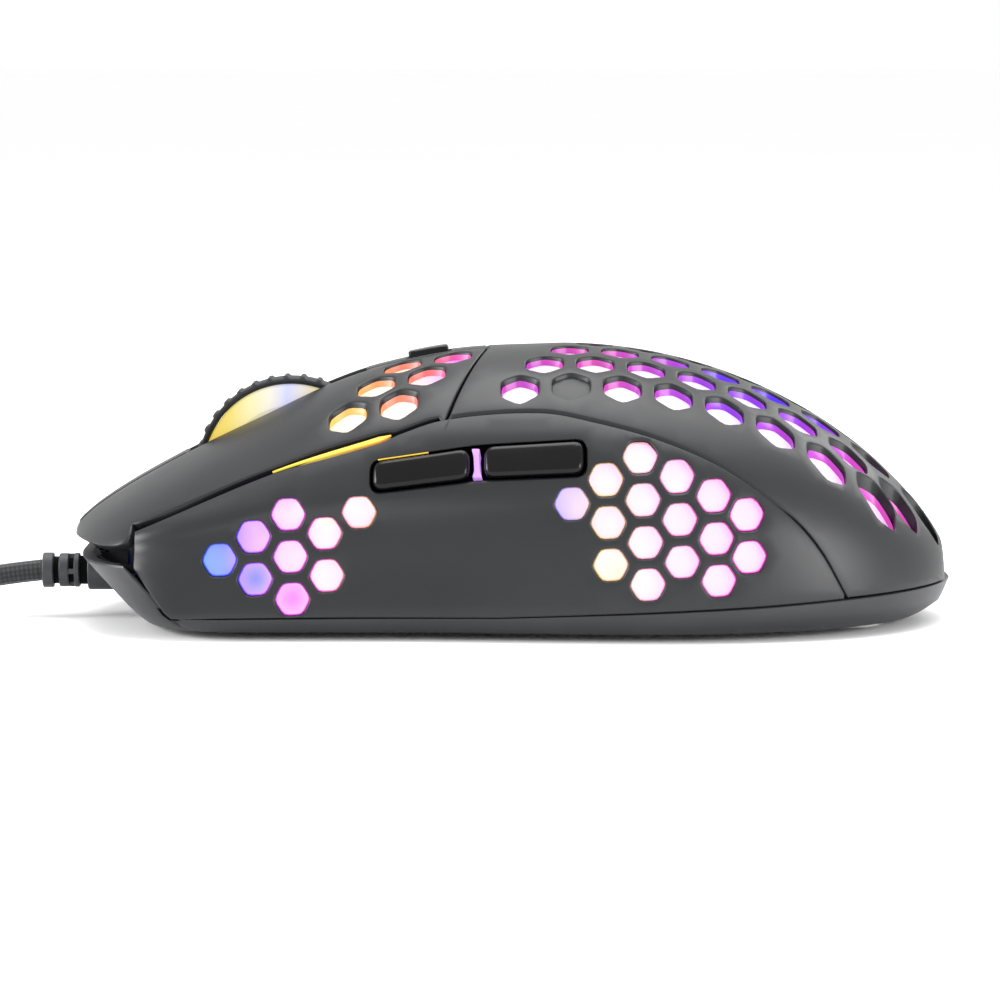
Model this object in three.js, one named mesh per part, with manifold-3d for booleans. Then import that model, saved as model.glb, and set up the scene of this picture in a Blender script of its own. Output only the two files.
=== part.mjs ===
// A wired, lightweight computer mouse with a honeycomb shell over glowing light liners.
// Millimetres. +X runs from the nose (cable) to the tail, -Y is the thumb side, +Z is up.
// The origin is on the ground, under the middle of the body.
import * as THREE from 'three';
import { mergeVertices } from 'three/addons/utils/BufferGeometryUtils.js';
import Module from 'manifold-3d';

const wasm = await Module();
wasm.setup();

// ---------------------------------------------------------------- driving dimensions
const HALF_LENGTH = 61;
const GAP = 0.3;              // clearance between neighbouring pieces
const SHELL = 1.6;            // wall of the outer covers
const FRONT_HALF_WIDTH = 30;
const TAIL_WIDENING = 2.7;    // how much the palm is wider than the nose, each side
const DOME_FOOT_Z = 2.4;      // height at which the flanks stand upright
const CREST_TOP = [6.5, 38.4]; // highest point of the back
const TAIL_DROP = 31;
const TAIL_POWER = 0.7;       // roundness of the tail in side view: 0.5 is an ellipse
const SCOOP_DEPTH = 1.5;      // hollow for thumb and ring finger
const SECTION_POWER = 2.8;    // roundness of a cross-section: 2 is an ellipse, more is fuller
const STATIONS = 20;          // sections along the dome
const SECTION_STEPS = 12;     // steps over one section

const SKATE_TOP = 0.6;
const BASE_BOTTOM = 0.9;
const BASE_FLOOR = 2.3;
const BOARD_BOTTOM = 4.2;
const BOARD_TOP = 5.4;
const PART_BOTTOM = BOARD_TOP + GAP; // where parts sit on the circuit board

const PANEL_FRONT = -51.2;    // front edge of the side panels
const HINGE_X = -3.4;         // main buttons meet the palm cover here, on the centre line
const BRIDGE_HALF_WIDTH = 2.9;
const BUTTON_INNER_Y = 3.2;   // inner edge of a main button beside the bridge
const SLOT_INNER_Y = 3.95;    // and beside the wheel
const BRIDGE = [-20.5, -3.75]; // the strip behind the wheel, from and to this x

const WHEEL = { x: -30.9, z: 20.4, radius: 13.5, width: 6, ribs: 36, ribHeight: 0.3 };
const AXLE_RADIUS = 1.5;

const CABLE_Z = 6.5;
const CORD_RADIUS = 1.5;
const COIL = { x: -130, innerRadius: 10.2, outerRadius: 24.7, bottom: 0.1, top: 12.3 };

// Heights along the length, each as [x, z]
const CREST_FRONT = [
  [-61, 13.4], [-57.8, 16.1], [-52.2, 19.7], [-43.1, 24.6],
  [-34.4, 28.8], [-25.6, 33.0], [-18.7, 35.4], [-7.5, 37.6], CREST_TOP,
];
const SIDE_SEAM = [
  [-51.2, 14.5], [-32.3, 22.4], [-17, 27.1], [-9.5, 29.5], [3.5, 30.5], [11, 29.3],
  [19.6, 27.0], [28.2, 23.2], [36.9, 16.9], [41.2, 12.0], [44.9, 5.4],
];
const CREASE = [[-51.2, 14.3], [-32.8, 18.3], [-19, 19.4], [9, 21.5], [30, 19.0], [45, 8.0]];
const BELT = [
  [-62, 10.1], [-51.8, 10.1], [-46.3, 3.0], [-2, 3.4], [33, 4.8], [45, 5.4], [62, 6.1],
];

// ---------------------------------------------------------------- small maths
const smoothstep = (t) => {
  const c = Math.min(Math.max(t, 0), 1);
  return c * c * (3 - 2 * c);
};

// Height at x on straight lines between points.
function along(points, x) {
  const last = points.length - 1;
  if (x <= points[0][0]) return points[0][1];
  if (x >= points[last][0]) return points[last][1];
  const i = points.findIndex((p) => p[0] > x) - 1;
  const t = (x - points[i][0]) / (points[i + 1][0] - points[i][0]);
  return points[i][1] + t * (points[i + 1][1] - points[i][1]);
}

// Height at x on a smooth curve through the points (slopes taken from the neighbours).
function smoothAlong(points, x) {
  const last = points.length - 1;
  const slope = (i) => {
    const a = points[Math.max(i - 1, 0)];
    const b = points[Math.min(i + 1, last)];
    return (b[1] - a[1]) / (b[0] - a[0]);
  };
  const i = Math.min(Math.max(points.findIndex((p) => p[0] > x) - 1, 0), last - 1);
  const step = points[i + 1][0] - points[i][0];
  const t = (x - points[i][0]) / step;
  const rise = points[i + 1][1] - points[i][1];
  const a = slope(i) * step - rise;
  const b = rise - slope(i + 1) * step;
  return points[i][1] + t * rise + t * (1 - t) * (a * (1 - t) + b * t);
}

// ---------------------------------------------------------------- outer form
function crest(x) {
  if (x < CREST_TOP[0]) return smoothAlong(CREST_FRONT, x);
  const t = Math.min((x - CREST_TOP[0]) / (HALF_LENGTH - CREST_TOP[0]), 1);
  return CREST_TOP[1] - TAIL_DROP + TAIL_DROP * (1 - t * t) ** TAIL_POWER;
}

function halfWidth(x) {
  const width = FRONT_HALF_WIDTH + TAIL_WIDENING * smoothstep((x + 25) / 45);
  if (x < -43) return width * (1 - ((-43 - x) / 18) ** 2.8) ** (1 / 2.8);
  if (x > 14) return width * (1 - ((x - 14) / 47) ** 2.4) ** 0.5;
  return width;
}

const sideSeam = (x) => along(SIDE_SEAM, x);
const belt = (x) => along(BELT, x);

// How far the flank is hollowed at (x, z): a soft shoulder under the crease, fading to the tail.
function scoop(x, z) {
  const line = along(CREASE, x);
  const t = (line - z) / (line - DOME_FOOT_Z);
  if (t <= 0 || x < PANEL_FRONT) return 0;
  const shoulder = smoothstep(t / 0.32) * (1 - 0.75 * smoothstep((t - 0.5) / 0.5));
  return SCOOP_DEPTH * (1 - smoothstep((x + 22) / 48)) * shoulder;
}

function flankY(x, z) {
  const t = (z - DOME_FOOT_Z) / (crest(x) - DOME_FOOT_Z);
  return halfWidth(x) * (1 - Math.max(t, 0) ** SECTION_POWER) ** 0.5 - scoop(x, z);
}

function domeZ(x, y) {
  const t = Math.min(Math.abs(y) / halfWidth(x), 1);
  return DOME_FOOT_Z + (crest(x) - DOME_FOOT_Z) * (1 - t * t) ** (1 / SECTION_POWER);
}

// ---------------------------------------------------------------- solids
// A closed geometry through rings of equal length, its ends closed by fans.
function loft(rings) {
  const count = rings[0].length;
  const positions = rings.flat().flat();
  const faces = [];
  for (let r = 0; r < rings.length - 1; r++) {
    for (let k = 0; k < count; k++) {
      const a = r * count + k;
      const b = r * count + ((k + 1) % count);
      faces.push(a, b, a + count, b, b + count, a + count);
    }
  }
  for (const [ring, flip] of [[0, true], [rings.length - 1, false]]) {
    const centre = [0, 1, 2].map((i) => rings[ring].reduce((s, p) => s + p[i], 0) / count);
    const hub = positions.length / 3;
    positions.push(...centre);
    for (let k = 0; k < count; k++) {
      const a = ring * count + k;
      const b = ring * count + ((k + 1) % count);
      faces.push(...(flip ? [a, hub, b] : [a, b, hub]));
    }
  }
  const geometry = new THREE.BufferGeometry();
  geometry.setAttribute('position', new THREE.Float32BufferAttribute(positions, 3));
  geometry.setIndex(faces);
  return geometry;
}

function solid(geometry) {
  const bare = geometry.clone();
  bare.deleteAttribute('normal');
  bare.deleteAttribute('uv');
  const merged = mergeVertices(bare, 1e-4);
  const build = (index) => new wasm.Manifold(new wasm.Mesh({
    numProp: 3,
    vertProperties: new Float32Array(merged.attributes.position.array),
    triVerts: new Uint32Array(index),
  }));
  const index = Array.from(merged.index.array);
  const made = build(index);
  if (made.volume() > 0) return made;
  for (let i = 0; i < index.length; i += 3) [index[i], index[i + 1]] = [index[i + 1], index[i]];
  return build(index);
}

function geometryOf(manifold) {
  const mesh = manifold.getMesh();
  const geometry = new THREE.BufferGeometry();
  const positions = new Float32Array(mesh.numVert * 3);
  for (let i = 0; i < mesh.numVert; i++) {
    for (let k = 0; k < 3; k++) positions[3 * i + k] = mesh.vertProperties[i * mesh.numProp + k];
  }
  geometry.setAttribute('position', new THREE.BufferAttribute(positions, 3));
  geometry.setIndex(new THREE.BufferAttribute(new Uint32Array(mesh.triVerts), 1));
  return geometry;
}

const union = (parts) => parts.reduce((sum, part) => sum.add(part));

// The largest body of a cut, without the slivers that a slanting cut leaves beside it.
function mainBody(manifold) {
  const bodies = manifold.decompose();
  return bodies.sort((a, b) => b.volume() - a.volume())[0];
}

function box(x0, x1, y0, y1, z0, z1) {
  const geometry = new THREE.BoxGeometry(x1 - x0, y1 - y0, z1 - z0);
  geometry.translate((x0 + x1) / 2, (y0 + y1) / 2, (z0 + z1) / 2);
  return solid(geometry);
}

function cylinder(radius, length, axis, centre, sides = 20) {
  const geometry = new THREE.CylinderGeometry(radius, radius, length, sides);
  if (axis === 'x') geometry.rotateZ(Math.PI / 2);
  if (axis === 'z') geometry.rotateX(Math.PI / 2);
  geometry.translate(...centre);
  return solid(geometry);
}

// A solid of revolution about an axis through centre, from a closed [radius, height] outline.
function turned(outline, axis, centre, sides = 24) {
  const closed = [...outline, outline[0]].map(([r, h]) => new THREE.Vector2(r, h));
  const geometry = new THREE.LatheGeometry(closed, sides);
  if (axis === 'x') geometry.rotateZ(-Math.PI / 2);
  if (axis === 'z') geometry.rotateX(Math.PI / 2);
  geometry.translate(...centre);
  return solid(geometry);
}

const shapeOf = (points) => new THREE.Shape(points.map(([a, b]) => new THREE.Vector2(a, b)));
const flatExtrude = (points, depth) =>
  new THREE.ExtrudeGeometry(shapeOf(points), { depth, bevelEnabled: false });

// A prism whose outline is [x, y], standing from z0 to z1.
function plate(points, z0, z1) {
  return solid(flatExtrude(points, z1 - z0).translate(0, 0, z0));
}

// A prism whose outline is [x, z], reaching from y0 to y1.
function crossPlate(points, y0, y1) {
  return solid(flatExtrude(points, y1 - y0).rotateX(Math.PI / 2).translate(0, y1, 0));
}

function hexagon(x, y, acrossFlats, turn) {
  const corners = [...Array(6).keys()];
  return corners.map((k) => {
    const angle = turn + (k * Math.PI) / 3;
    const radius = acrossFlats / Math.sqrt(3);
    return [x + radius * Math.cos(angle), y + radius * Math.sin(angle)];
  });
}

// ---------------------------------------------------------------- the dome and its regions
// The whole outer form, moved inwards by inset (outwards when negative), open to the ground.
function dome(inset) {
  const rings = [];
  for (let s = 0; s <= STATIONS; s++) {
    const x = -(HALF_LENGTH - 0.02) * Math.cos((Math.PI * s) / STATIONS);
    const slope = (crest(x + 0.5) - crest(x - 0.5)) || 0;
    const top = crest(x) - inset * Math.min(Math.hypot(1, slope), 1.6);
    const width = Math.max(halfWidth(x) - inset, 0.3);
    const placed = x * (1 - inset / HALF_LENGTH);
    const ring = [];
    for (let k = 0; k <= SECTION_STEPS; k++) {
      const angle = Math.PI * (k / SECTION_STEPS - 0.5);
      const lift = Math.max(Math.cos(angle), 0) ** (2 / SECTION_POWER);
      const z = DOME_FOOT_Z + (top - DOME_FOOT_Z) * lift;
      const hollow = Math.min(scoop(x, z), width * 0.5);
      ring.push([placed, width * Math.sin(angle) - Math.sign(angle) * hollow, z]);
    }
    ring.push([placed, width, -1 - Math.abs(inset)], [placed, -width, -1 - Math.abs(inset)]);
    rings.push(ring);
  }
  return solid(loft(rings));
}

const layer = (outer, inner) => dome(outer).subtract(dome(inner));
const coverLayer = layer(0, SHELL);
const linerLayer = layer(SHELL + 0.5, SHELL + 1.4);

const WIDE = 40;
const seamPoints = (from, to, lift) => {
  const xs = SIDE_SEAM.map((p) => p[0]).filter((x) => x > from && x < to);
  return [from, ...xs, to].map((x) => [x, sideSeam(x) + lift(x)]);
};
const beltPoints = (from, to, lift) => {
  const xs = BELT.map((p) => p[0]).filter((x) => x > from && x < to);
  return [from, ...xs, to].map((x) => [x, belt(x) + lift]);
};

// Side panels: between the belt and the side seam.
function sideRegion(side, margin) {
  const front = PANEL_FRONT + margin;
  const back = 44.4 - 1.7 * margin;
  const top = seamPoints(front, back, () => -0.15 - margin);
  const bottom = beltPoints(front, back, 0.15 + margin).reverse();
  const y0 = side < 0 ? -WIDE : 14;
  return crossPlate([...top, ...bottom], y0, y0 + WIDE - 14);
}

// Palm cover: above the side seam and the belt, behind the main buttons.
function palmRegion(margin) {
  const seam = seamPoints(-13, 44.7, () => 0.15 + margin);
  const tail = beltPoints(45.2, 62, 0.15 + margin);
  const prism = crossPlate([...seam, ...tail, [62, 45], [-13, 45]], -WIDE, WIDE);
  return prism.intersect(plate(splitOutline(margin + 0.18, 70), -2, 45));
}

// The line in plan where the main buttons end: a shallow arrow that runs forward at the sides.
const splitX = (y) => HINGE_X - 6.45 * (Math.abs(y) / 24) ** 1.5;
function splitOutline(shift, farX) {
  const ys = [-34, -27, -20, -13, -6, 0, 6, 13, 20, 27, 34];
  return [...ys.map((y) => [splitX(y) + shift, y]), [farX, 34], [farX, -34]];
}

// A main button: ahead of the split line, above the side seam, clear of the wheel slot.
function buttonRegion(side, margin) {
  const travelRoom = (x) => 0.2 + margin + 0.5 * ((HINGE_X - x) / 50);
  const seam = seamPoints(-51.4, -2, travelRoom);
  const outline = [[-62, 11.2 + margin], [-51.6, 11.2 + margin], ...seam, [-2, 45], [-62, 45]];
  const y0 = side < 0 ? -WIDE : BUTTON_INNER_Y + margin;
  const prism = crossPlate(outline, y0, y0 + WIDE - BUTTON_INNER_Y - margin);
  const wheelSlot = box(-62, BRIDGE[0] + GAP, -SLOT_INNER_Y - margin, SLOT_INNER_Y + margin, 0, 45);
  return prism.intersect(plate(splitOutline(-margin - 0.18, -70), -2, 45)).subtract(wheelSlot);
}

// ---------------------------------------------------------------- honeycomb openings
const PALM_CELL = { across: 5.2, pitch: 6.93 };
const RIM_TOP = 12;           // openings stay where the back is higher than this
const SIDE_CELL = { across: 4.4, pitch: 5.58, tilt: THREE.MathUtils.degToRad(3.2) };

// Rows over the palm as [y, first x, number of openings]
const PALM_ROWS = [
  [0, 11.2, 7], [6, 7.7, 8], [-6, 7.7, 8], [12, 4.2, 8], [-12, 4.2, 8], [18, 0.8, 8], [-18, 0.8, 8],
];
// Rows over a main button as [distance from the centre line, first x]
const BUTTON_ROWS = [[6.8, -15.3], [12.3, -18.8], [17.8, -22.5]];
// Columns on the flank as [x, lowest z, number of openings]
const REAR_COLUMNS = [
  [7.7, 18.6, 1], [12.85, 10.6, 3], [17.8, 8.0, 4], [22.4, 11.0, 3], [27.3, 8.45, 3], [31.4, 11.5, 2],
];
const FRONT_COLUMNS = [
  [-39.5, 10.8, 1], [-34.7, 8.3, 2], [-29.7, 5.7, 3], [-25.1, 8.8, 2], [-20.8, 17.2, 1],
];

function topOpening(x, y) {
  const z = domeZ(x, y);
  return plate(hexagon(x, y, PALM_CELL.across, Math.PI / 6 + Math.PI / 3), z - 9, z + 4);
}

function palmOpenings() {
  const cells = [];
  for (const [y, firstX, count] of PALM_ROWS) {
    for (let i = 0; i < count; i++) {
      const x = firstX + i * PALM_CELL.pitch;
      const blind = Math.abs(y) === 18 && i === 1;
      const insideRim = domeZ(x + 3, y) > RIM_TOP;
      if (!blind && insideRim) cells.push(topOpening(x, y));
    }
  }
  return union(cells);
}

function buttonOpenings(side) {
  const cells = [];
  for (const [y, firstX] of BUTTON_ROWS) {
    for (let i = 0; i < 2; i++) cells.push(topOpening(firstX + i * PALM_CELL.pitch, side * y));
  }
  return union(cells);
}

function flankOpenings(side) {
  const cells = [];
  for (const [x0, z0, count] of [...REAR_COLUMNS, ...FRONT_COLUMNS]) {
    for (let i = 0; i < count; i++) {
      const x = x0 - i * SIDE_CELL.pitch * Math.sin(SIDE_CELL.tilt);
      const z = z0 + i * SIDE_CELL.pitch * Math.cos(SIDE_CELL.tilt);
      const y0 = side < 0 ? -WIDE : 18;
      cells.push(crossPlate(hexagon(x, z, SIDE_CELL.across, SIDE_CELL.tilt), y0, y0 + WIDE - 18));
    }
  }
  return union(cells);
}

// ---------------------------------------------------------------- thumb buttons
// Outlines on the thumb flank as [x, z]; the slot leans up towards the tail.
const slotTop = (x) => along([[-19, 23.6], [-5, 25.7], [9.5, 26.6]], x);
const slotBottom = (x) => along([[-19, 20.1], [-5, 21.9], [9.5, 22.6]], x);

function barOutline(x0, x1, grow) {
  const end = 0.9;
  const a = x0 - grow;
  const b = x1 + grow;
  const bend = a < -6 && b > -4 ? [-5] : [];
  const xs = [a + end, ...bend, b - end];
  return [
    [a, slotBottom(a) + end - grow],
    ...xs.map((x) => [x, slotBottom(x) - grow]),
    [b, slotBottom(b) + end - grow],
    [b, slotTop(b) - end + grow],
    ...xs.reverse().map((x) => [x, slotTop(x) + grow]),
    [a, slotTop(a) - end + grow],
  ];
}
const FORWARD_BUTTON = [-18.9, -6.0];
const BACK_BUTTON = [-4.0, 9.3];
const slotPrism = (grow) => crossPlate(barOutline(-18.9, 9.3, grow), -WIDE, -14);

function thumbButton([x0, x1]) {
  return layer(-0.9, 1.2).intersect(crossPlate(barOutline(x0, x1, 0), -WIDE, -14));
}

function lightSeparator() {
  const x = -5;
  const low = slotBottom(x) + 0.1;
  const high = slotTop(x) - 0.1;
  const outline = [
    [x - 0.6, low], [x + 0.7, low], [x + 0.45, low + 0.8], [x + 0.3, high - 0.8], [x + 0.4, high],
    [x - 0.7, high], [x - 0.45, high - 0.8], [x - 0.35, low + 0.8],
  ];
  return layer(-0.2, 2.2).intersect(crossPlate(outline, -WIDE, -14));
}

const THUMB_SWITCHES = [{ x: -12.4, z: 22.6 }, { x: 2.6, z: 24.2 }];
const thumbBoardY = -16.4;

function thumbButtonFrame() {
  const body = layer(2.6, 3.4).intersect(slotPrism(1.6));
  const holes = THUMB_SWITCHES.map(({ x, z }) => cylinder(1.7, 20, 'y', [x, -22, z], 12));
  return body.subtract(union(holes));
}

// ---------------------------------------------------------------- covers
function palmCover() {
  return coverLayer.intersect(palmRegion(0)).subtract(palmOpenings());
}

const SWITCH_PRESS = { x: -41, y: 13.9, top: 12.9 };

function mainButton(side) {
  const y = side * SWITCH_PRESS.y;
  const post = box(
    SWITCH_PRESS.x - 1.5, SWITCH_PRESS.x + 1.5, y - 2, y + 2,
    SWITCH_PRESS.top + GAP, domeZ(SWITCH_PRESS.x, y) - 1,
  );
  const skin = coverLayer.intersect(buttonRegion(side, 0));
  return skin.subtract(buttonOpenings(side)).add(post);
}

function sidePanel(side) {
  const panel = coverLayer.intersect(sideRegion(side, 0)).subtract(flankOpenings(side));
  return side < 0 ? panel.subtract(slotPrism(0.4)) : panel;
}

// The strip between the main buttons behind the wheel, which holds the DPI button.
const DPI = { x0: -14.6, x1: -9.0, halfWidth: 2.1, proud: 0.8 };

function centreBridge() {
  const strip = box(BRIDGE[0], BRIDGE[1], -BRIDGE_HALF_WIDTH, BRIDGE_HALF_WIDTH, 20, 45);
  const window = box(DPI.x0 - GAP, DPI.x1 + GAP, -DPI.halfWidth - GAP, DPI.halfWidth + GAP, 20, 45);
  return coverLayer.intersect(strip).subtract(window);
}

function noseBridge() {
  const strip = box(-61, -45.4, -SLOT_INNER_Y + GAP, SLOT_INNER_Y - GAP, 11.2, 45);
  return coverLayer.intersect(strip);
}

function dpiButton() {
  const footprint = box(DPI.x0, DPI.x1, -DPI.halfWidth, DPI.halfWidth, 20, 45);
  return layer(-DPI.proud, SHELL + 0.4).intersect(footprint);
}

// ---------------------------------------------------------------- light liners
function palmLiner() {
  return linerLayer.intersect(palmRegion(0.4));
}

function buttonLiner(side) {
  const y = side * SWITCH_PRESS.y;
  const postHole = box(SWITCH_PRESS.x - 2.2, SWITCH_PRESS.x + 2.2, y - 2.7, y + 2.7, 5, 40);
  const behindWheel = box(-52, 0, -WIDE, WIDE, 0, 45);
  return linerLayer.intersect(buttonRegion(side, 0.4)).intersect(behindWheel).subtract(postHole);
}

function sideLiner(side) {
  const liner = linerLayer.intersect(sideRegion(side, 0.3));
  return side < 0 ? liner.subtract(slotPrism(2.4)) : liner;
}

// ---------------------------------------------------------------- base
// The tray under the belt: its walls lean in towards the ground, most of all at the nose.
function baseForm(inset, bottom, top) {
  const levels = [BASE_BOTTOM, 1.6, 3.0, 6.0, 10.4].filter((z) => z > bottom && z < top);
  const rings = [bottom, ...levels, top].map((z) => {
    const front = along([[0.9, -51.5], [10.1, -60.0]], z) + inset;
    const back = along([[0.9, 57.0], [3.0, 59.6], [6.1, 60.9]], z) - inset;
    const narrow = along([[0.9, 3.4], [1.6, 1.9], [3.0, 0.4], [4.0, 0]], z) + inset;
    const outline = (sign) => [...Array(STATIONS + 1).keys()].map((s) => {
      const x = -(HALF_LENGTH - 0.05) * Math.cos((Math.PI * s) / STATIONS);
      const placed = front + ((x + HALF_LENGTH) / (2 * HALF_LENGTH)) * (back - front);
      return [placed, sign * Math.max(halfWidth(x) - narrow, 0.25), z];
    });
    return [...outline(-1), ...outline(1).reverse()];
  });
  return solid(loft(rings));
}

const LENS_HOLE = { x0: -1, x1: 6, y: 3.2 };
const SCREWS = [[-39, 20], [-39, -20], [44, 13], [44, -13]];

function baseShell() {
  const underBelt = crossPlate([...beltPoints(-62, 62, -0.15), [62, 0], [-62, 0]], -WIDE, WIDE);
  const tray = baseForm(0, BASE_BOTTOM, 12).intersect(underBelt);
  const hollow = baseForm(1.5, BASE_FLOOR, 14);
  const cableHole = cylinder(3.1, 12, 'x', [-57, 0, CABLE_Z], 16);
  const lensHole = box(LENS_HOLE.x0, LENS_HOLE.x1, -LENS_HOLE.y, LENS_HOLE.y, 0, 5);
  const screwHoles = SCREWS.map(([x, y]) => cylinder(2.1, 6, 'z', [x, y, 2], 12));
  return tray.subtract(hollow).subtract(cableHole).subtract(lensHole).subtract(union(screwHoles));
}

// A glide foot: a flat stadium across the width.
const stadium = (x, halfSpan, halfDepth) => {
  const arc = (side) => [...Array(9).keys()].map((k) => {
    const angle = (Math.PI * k) / 8;
    return [x + side * halfDepth * Math.cos(angle), side * (halfSpan + halfDepth * Math.sin(angle))];
  });
  return plate([...arc(1), ...arc(-1)], 0, SKATE_TOP);
};

// ---------------------------------------------------------------- wheel
function wheelTyre() {
  const outline = [];
  const pitch = (2 * Math.PI) / WHEEL.ribs;
  const groove = WHEEL.radius - WHEEL.ribHeight;
  for (let i = 0; i < WHEEL.ribs; i++) {
    for (const [turn, radius] of [[0, WHEEL.radius], [0.4, WHEEL.radius], [0.5, groove], [0.9, groove]]) {
      const angle = (i + turn) * pitch;
      outline.push([WHEEL.x + radius * Math.cos(angle), WHEEL.z + radius * Math.sin(angle)]);
    }
  }
  const tread = crossPlate(outline, -WHEEL.width / 2, WHEEL.width / 2);
  return tread.subtract(cylinder(12.3, 20, 'y', [WHEEL.x, 0, WHEEL.z], 36));
}

function wheelHub() {
  const outline = [[1.8, -2.9], [3.2, -2.9], [3.2, -2.2], [12.0, -2.6], [12.0, 2.6], [3.2, 2.2], [3.2, 2.9], [1.8, 2.9]];
  return turned(outline, 'y', [WHEEL.x, 0, WHEEL.z], 24);
}

function wheelCarrier() {
  const outline = [
    [-48, 13.2], [-38, 13.2], [-36, 15.6], [-34, 17.2], [-28, 17.2], [-26, 12], [-17, 9],
    [-14.5, 9], [-14.5, 12], [-18, 12.5], [-25, 17], [-27.6, 23.6], [-34.2, 23.6], [-37, 17.6],
    [-39, 15.6], [-48, 15.6],
  ];
  const cheeks = [-5.6, 4.4].map((y) => crossPlate(outline, y, y + 1.2));
  const bars = [box(-48, -46, -5.6, 5.6, 13.2, 15.6), box(-16.2, -14.5, -5.6, 5.6, 9, 12)];
  const bore = cylinder(AXLE_RADIUS + GAP, 20, 'y', [WHEEL.x, 0, WHEEL.z], 16);
  return union([...cheeks, ...bars]).subtract(bore);
}

function wheelEncoder() {
  const body = box(-35, -26.8, 6.2, 9.6, PART_BOTTOM, 22.8);
  return body.subtract(cylinder(2.4, 20, 'y', [WHEEL.x, 6, WHEEL.z], 16));
}

// ---------------------------------------------------------------- circuit boards and switches
function mainBoard() {
  const outline = [
    [-50.5, -18], [-47, -22], [8, -22], [24, -24], [40, -19], [46, -8], [46, 8], [40, 19],
    [24, 24], [8, 22], [-47, 22], [-50.5, 18],
  ];
  const lensWindow = box(-2.5, 7.5, -4.2, 4.2, 3, 7);
  const screwHoles = SCREWS.map(([x, y]) => cylinder(1.9, 6, 'z', [x, y, 5], 12));
  return plate(outline, BOARD_BOTTOM, BOARD_TOP).subtract(lensWindow).subtract(union(screwHoles));
}

function clickSwitch(x0, x1, y0, y1, plungerX, plungerY) {
  const body = box(x0, x1, y0, y1, PART_BOTTOM, 12.2);
  return body.subtract(cylinder(1.2, 3, 'z', [plungerX, plungerY, 12], 12));
}
const plunger = (x, y, bottom, top, radius) =>
  cylinder(radius, top - bottom, 'z', [x, y, (top + bottom) / 2], 10);

function thumbPlunger({ x, z }) {
  const buttonFace = -(flankY(x, z) - 1.2);
  const start = buttonFace + 1.5;
  const end = thumbBoardY - 2.7;
  return cylinder(1.1, end - start, 'y', [x, (start + end) / 2, z], 12);
}
function thumbSwitch({ x, z }) {
  const body = box(x - 3, x + 3, thumbBoardY - 3.3, thumbBoardY - GAP, z - 2.8, z + 1.8);
  return body.subtract(cylinder(1.4, 3.2, 'y', [x, thumbBoardY - 3.3, z], 10));
}

const DPI_BOARD_Z = 26;
function dpiPlunger() {
  const x = (DPI.x0 + DPI.x1) / 2;
  return plunger(x, 0, DPI_BOARD_Z + 4.1, crest(x) - SHELL - 1.0, 1.6);
}
function dpiSwitch() {
  const x = (DPI.x0 + DPI.x1) / 2;
  const body = box(x - 3, x + 3, -3, 3, DPI_BOARD_Z + 1.5, DPI_BOARD_Z + 4.6);
  return body.subtract(cylinder(1.9, 2.4, 'z', [x, 0, DPI_BOARD_Z + 4.6], 10));
}

function screw([x, y]) {
  const head = cylinder(1.8, 1, 'z', [x, y, 1.5], 10);
  return head.add(cylinder(1.1, 5.6, 'z', [x, y, 4.7], 8));
}

function sensorLens() {
  const flange = box(-3.5, 8.5, -5, 5, 2.6, 3.9);
  return flange.add(box(-0.6, 5.6, -2.8, 2.8, 1.2, 2.7));
}

// ---------------------------------------------------------------- cable
// The strain relief: a sleeve in the nose wall, a cone, a slotted neck and an end ring.
function strainRelief() {
  const radii = [
    [0, 0], [2.75, 0], [2.75, 1.6], [2.3, 1.6], [2.3, 2.1], [2.75, 2.1], [2.4, 3.4], [1.75, 3.8],
    [1.75, 5.6], [2.4, 5.6], [2.4, 7.2], [1.8, 7.2], [1.8, 7.8], [2.5, 7.8], [2.5, 9.2], [0, 9.2],
  ];
  const collar = [[0, -2.6], [2.75, -2.6], [2.75, 0.1], [0, 0.1]];
  const start = [-56.4, 0, CABLE_Z];
  const place = (outline) => {
    const closed = [...outline, outline[0]].map(([r, h]) => new THREE.Vector2(r, h));
    return solid(new THREE.LatheGeometry(closed, 12).rotateZ(Math.PI / 2).translate(...start));
  };
  return place(radii).add(place(collar));
}

const CORD_ROUTE = [
  [-65.9, 0, 6.5], [-69, 0, 6.15], [-72.5, 0, 5.65], [-76.5, 0, 4.9], [-80, -0.6, 4.0],
  [-85, -2.7, 2.8], [-90, -6.0, 2.0], [-95, -9.9, 1.7], [-100, -14.0, 1.65],
  [-105, -17.9, 1.65], [-110, -20.9, 1.65], [-114, -22.6, 1.65], [-117.2, -23.15, 1.65],
];
const TAIL_ROUTE = [
  [-130, 26.6, 1.65], [-126, 26.7, 1.75], [-121, 26.7, 2.4], [-116, 26.7, 3.5], [-112.5, 26.7, 4.0],
];

function tube(route, steps) {
  const path = new THREE.CatmullRomCurve3(route.map((p) => new THREE.Vector3(...p)));
  const section = new THREE.Shape();
  section.absarc(0, 0, CORD_RADIUS, 0, 2 * Math.PI);
  const options = { steps, extrudePath: path, curveSegments: 4, bevelEnabled: false };
  return solid(new THREE.ExtrudeGeometry(section, options));
}

// The wound length: one ring with the outer shape of all its turns.
function cableCoil() {
  const { innerRadius, outerRadius, bottom, top } = COIL;
  const outline = [
    [innerRadius, bottom], [outerRadius, bottom], [outerRadius, top], [innerRadius, top],
  ];
  return turned(outline, 'z', [COIL.x, 0, 0], 32);
}

// The end of the cord leaves the top of the coil and comes down around its outside.
function descendingTurn() {
  const points = [];
  for (let k = 3; k <= 10; k++) {
    const turn = k / 20;
    const angle = -Math.PI / 2 - 2 * Math.PI * turn;
    const z = 10.8 - 9.15 * smoothstep((turn - 0.05) / 0.45);
    points.push([COIL.x + 26.6 * Math.cos(angle), 26.6 * Math.sin(angle), z]);
  }
  return points;
}

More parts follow.
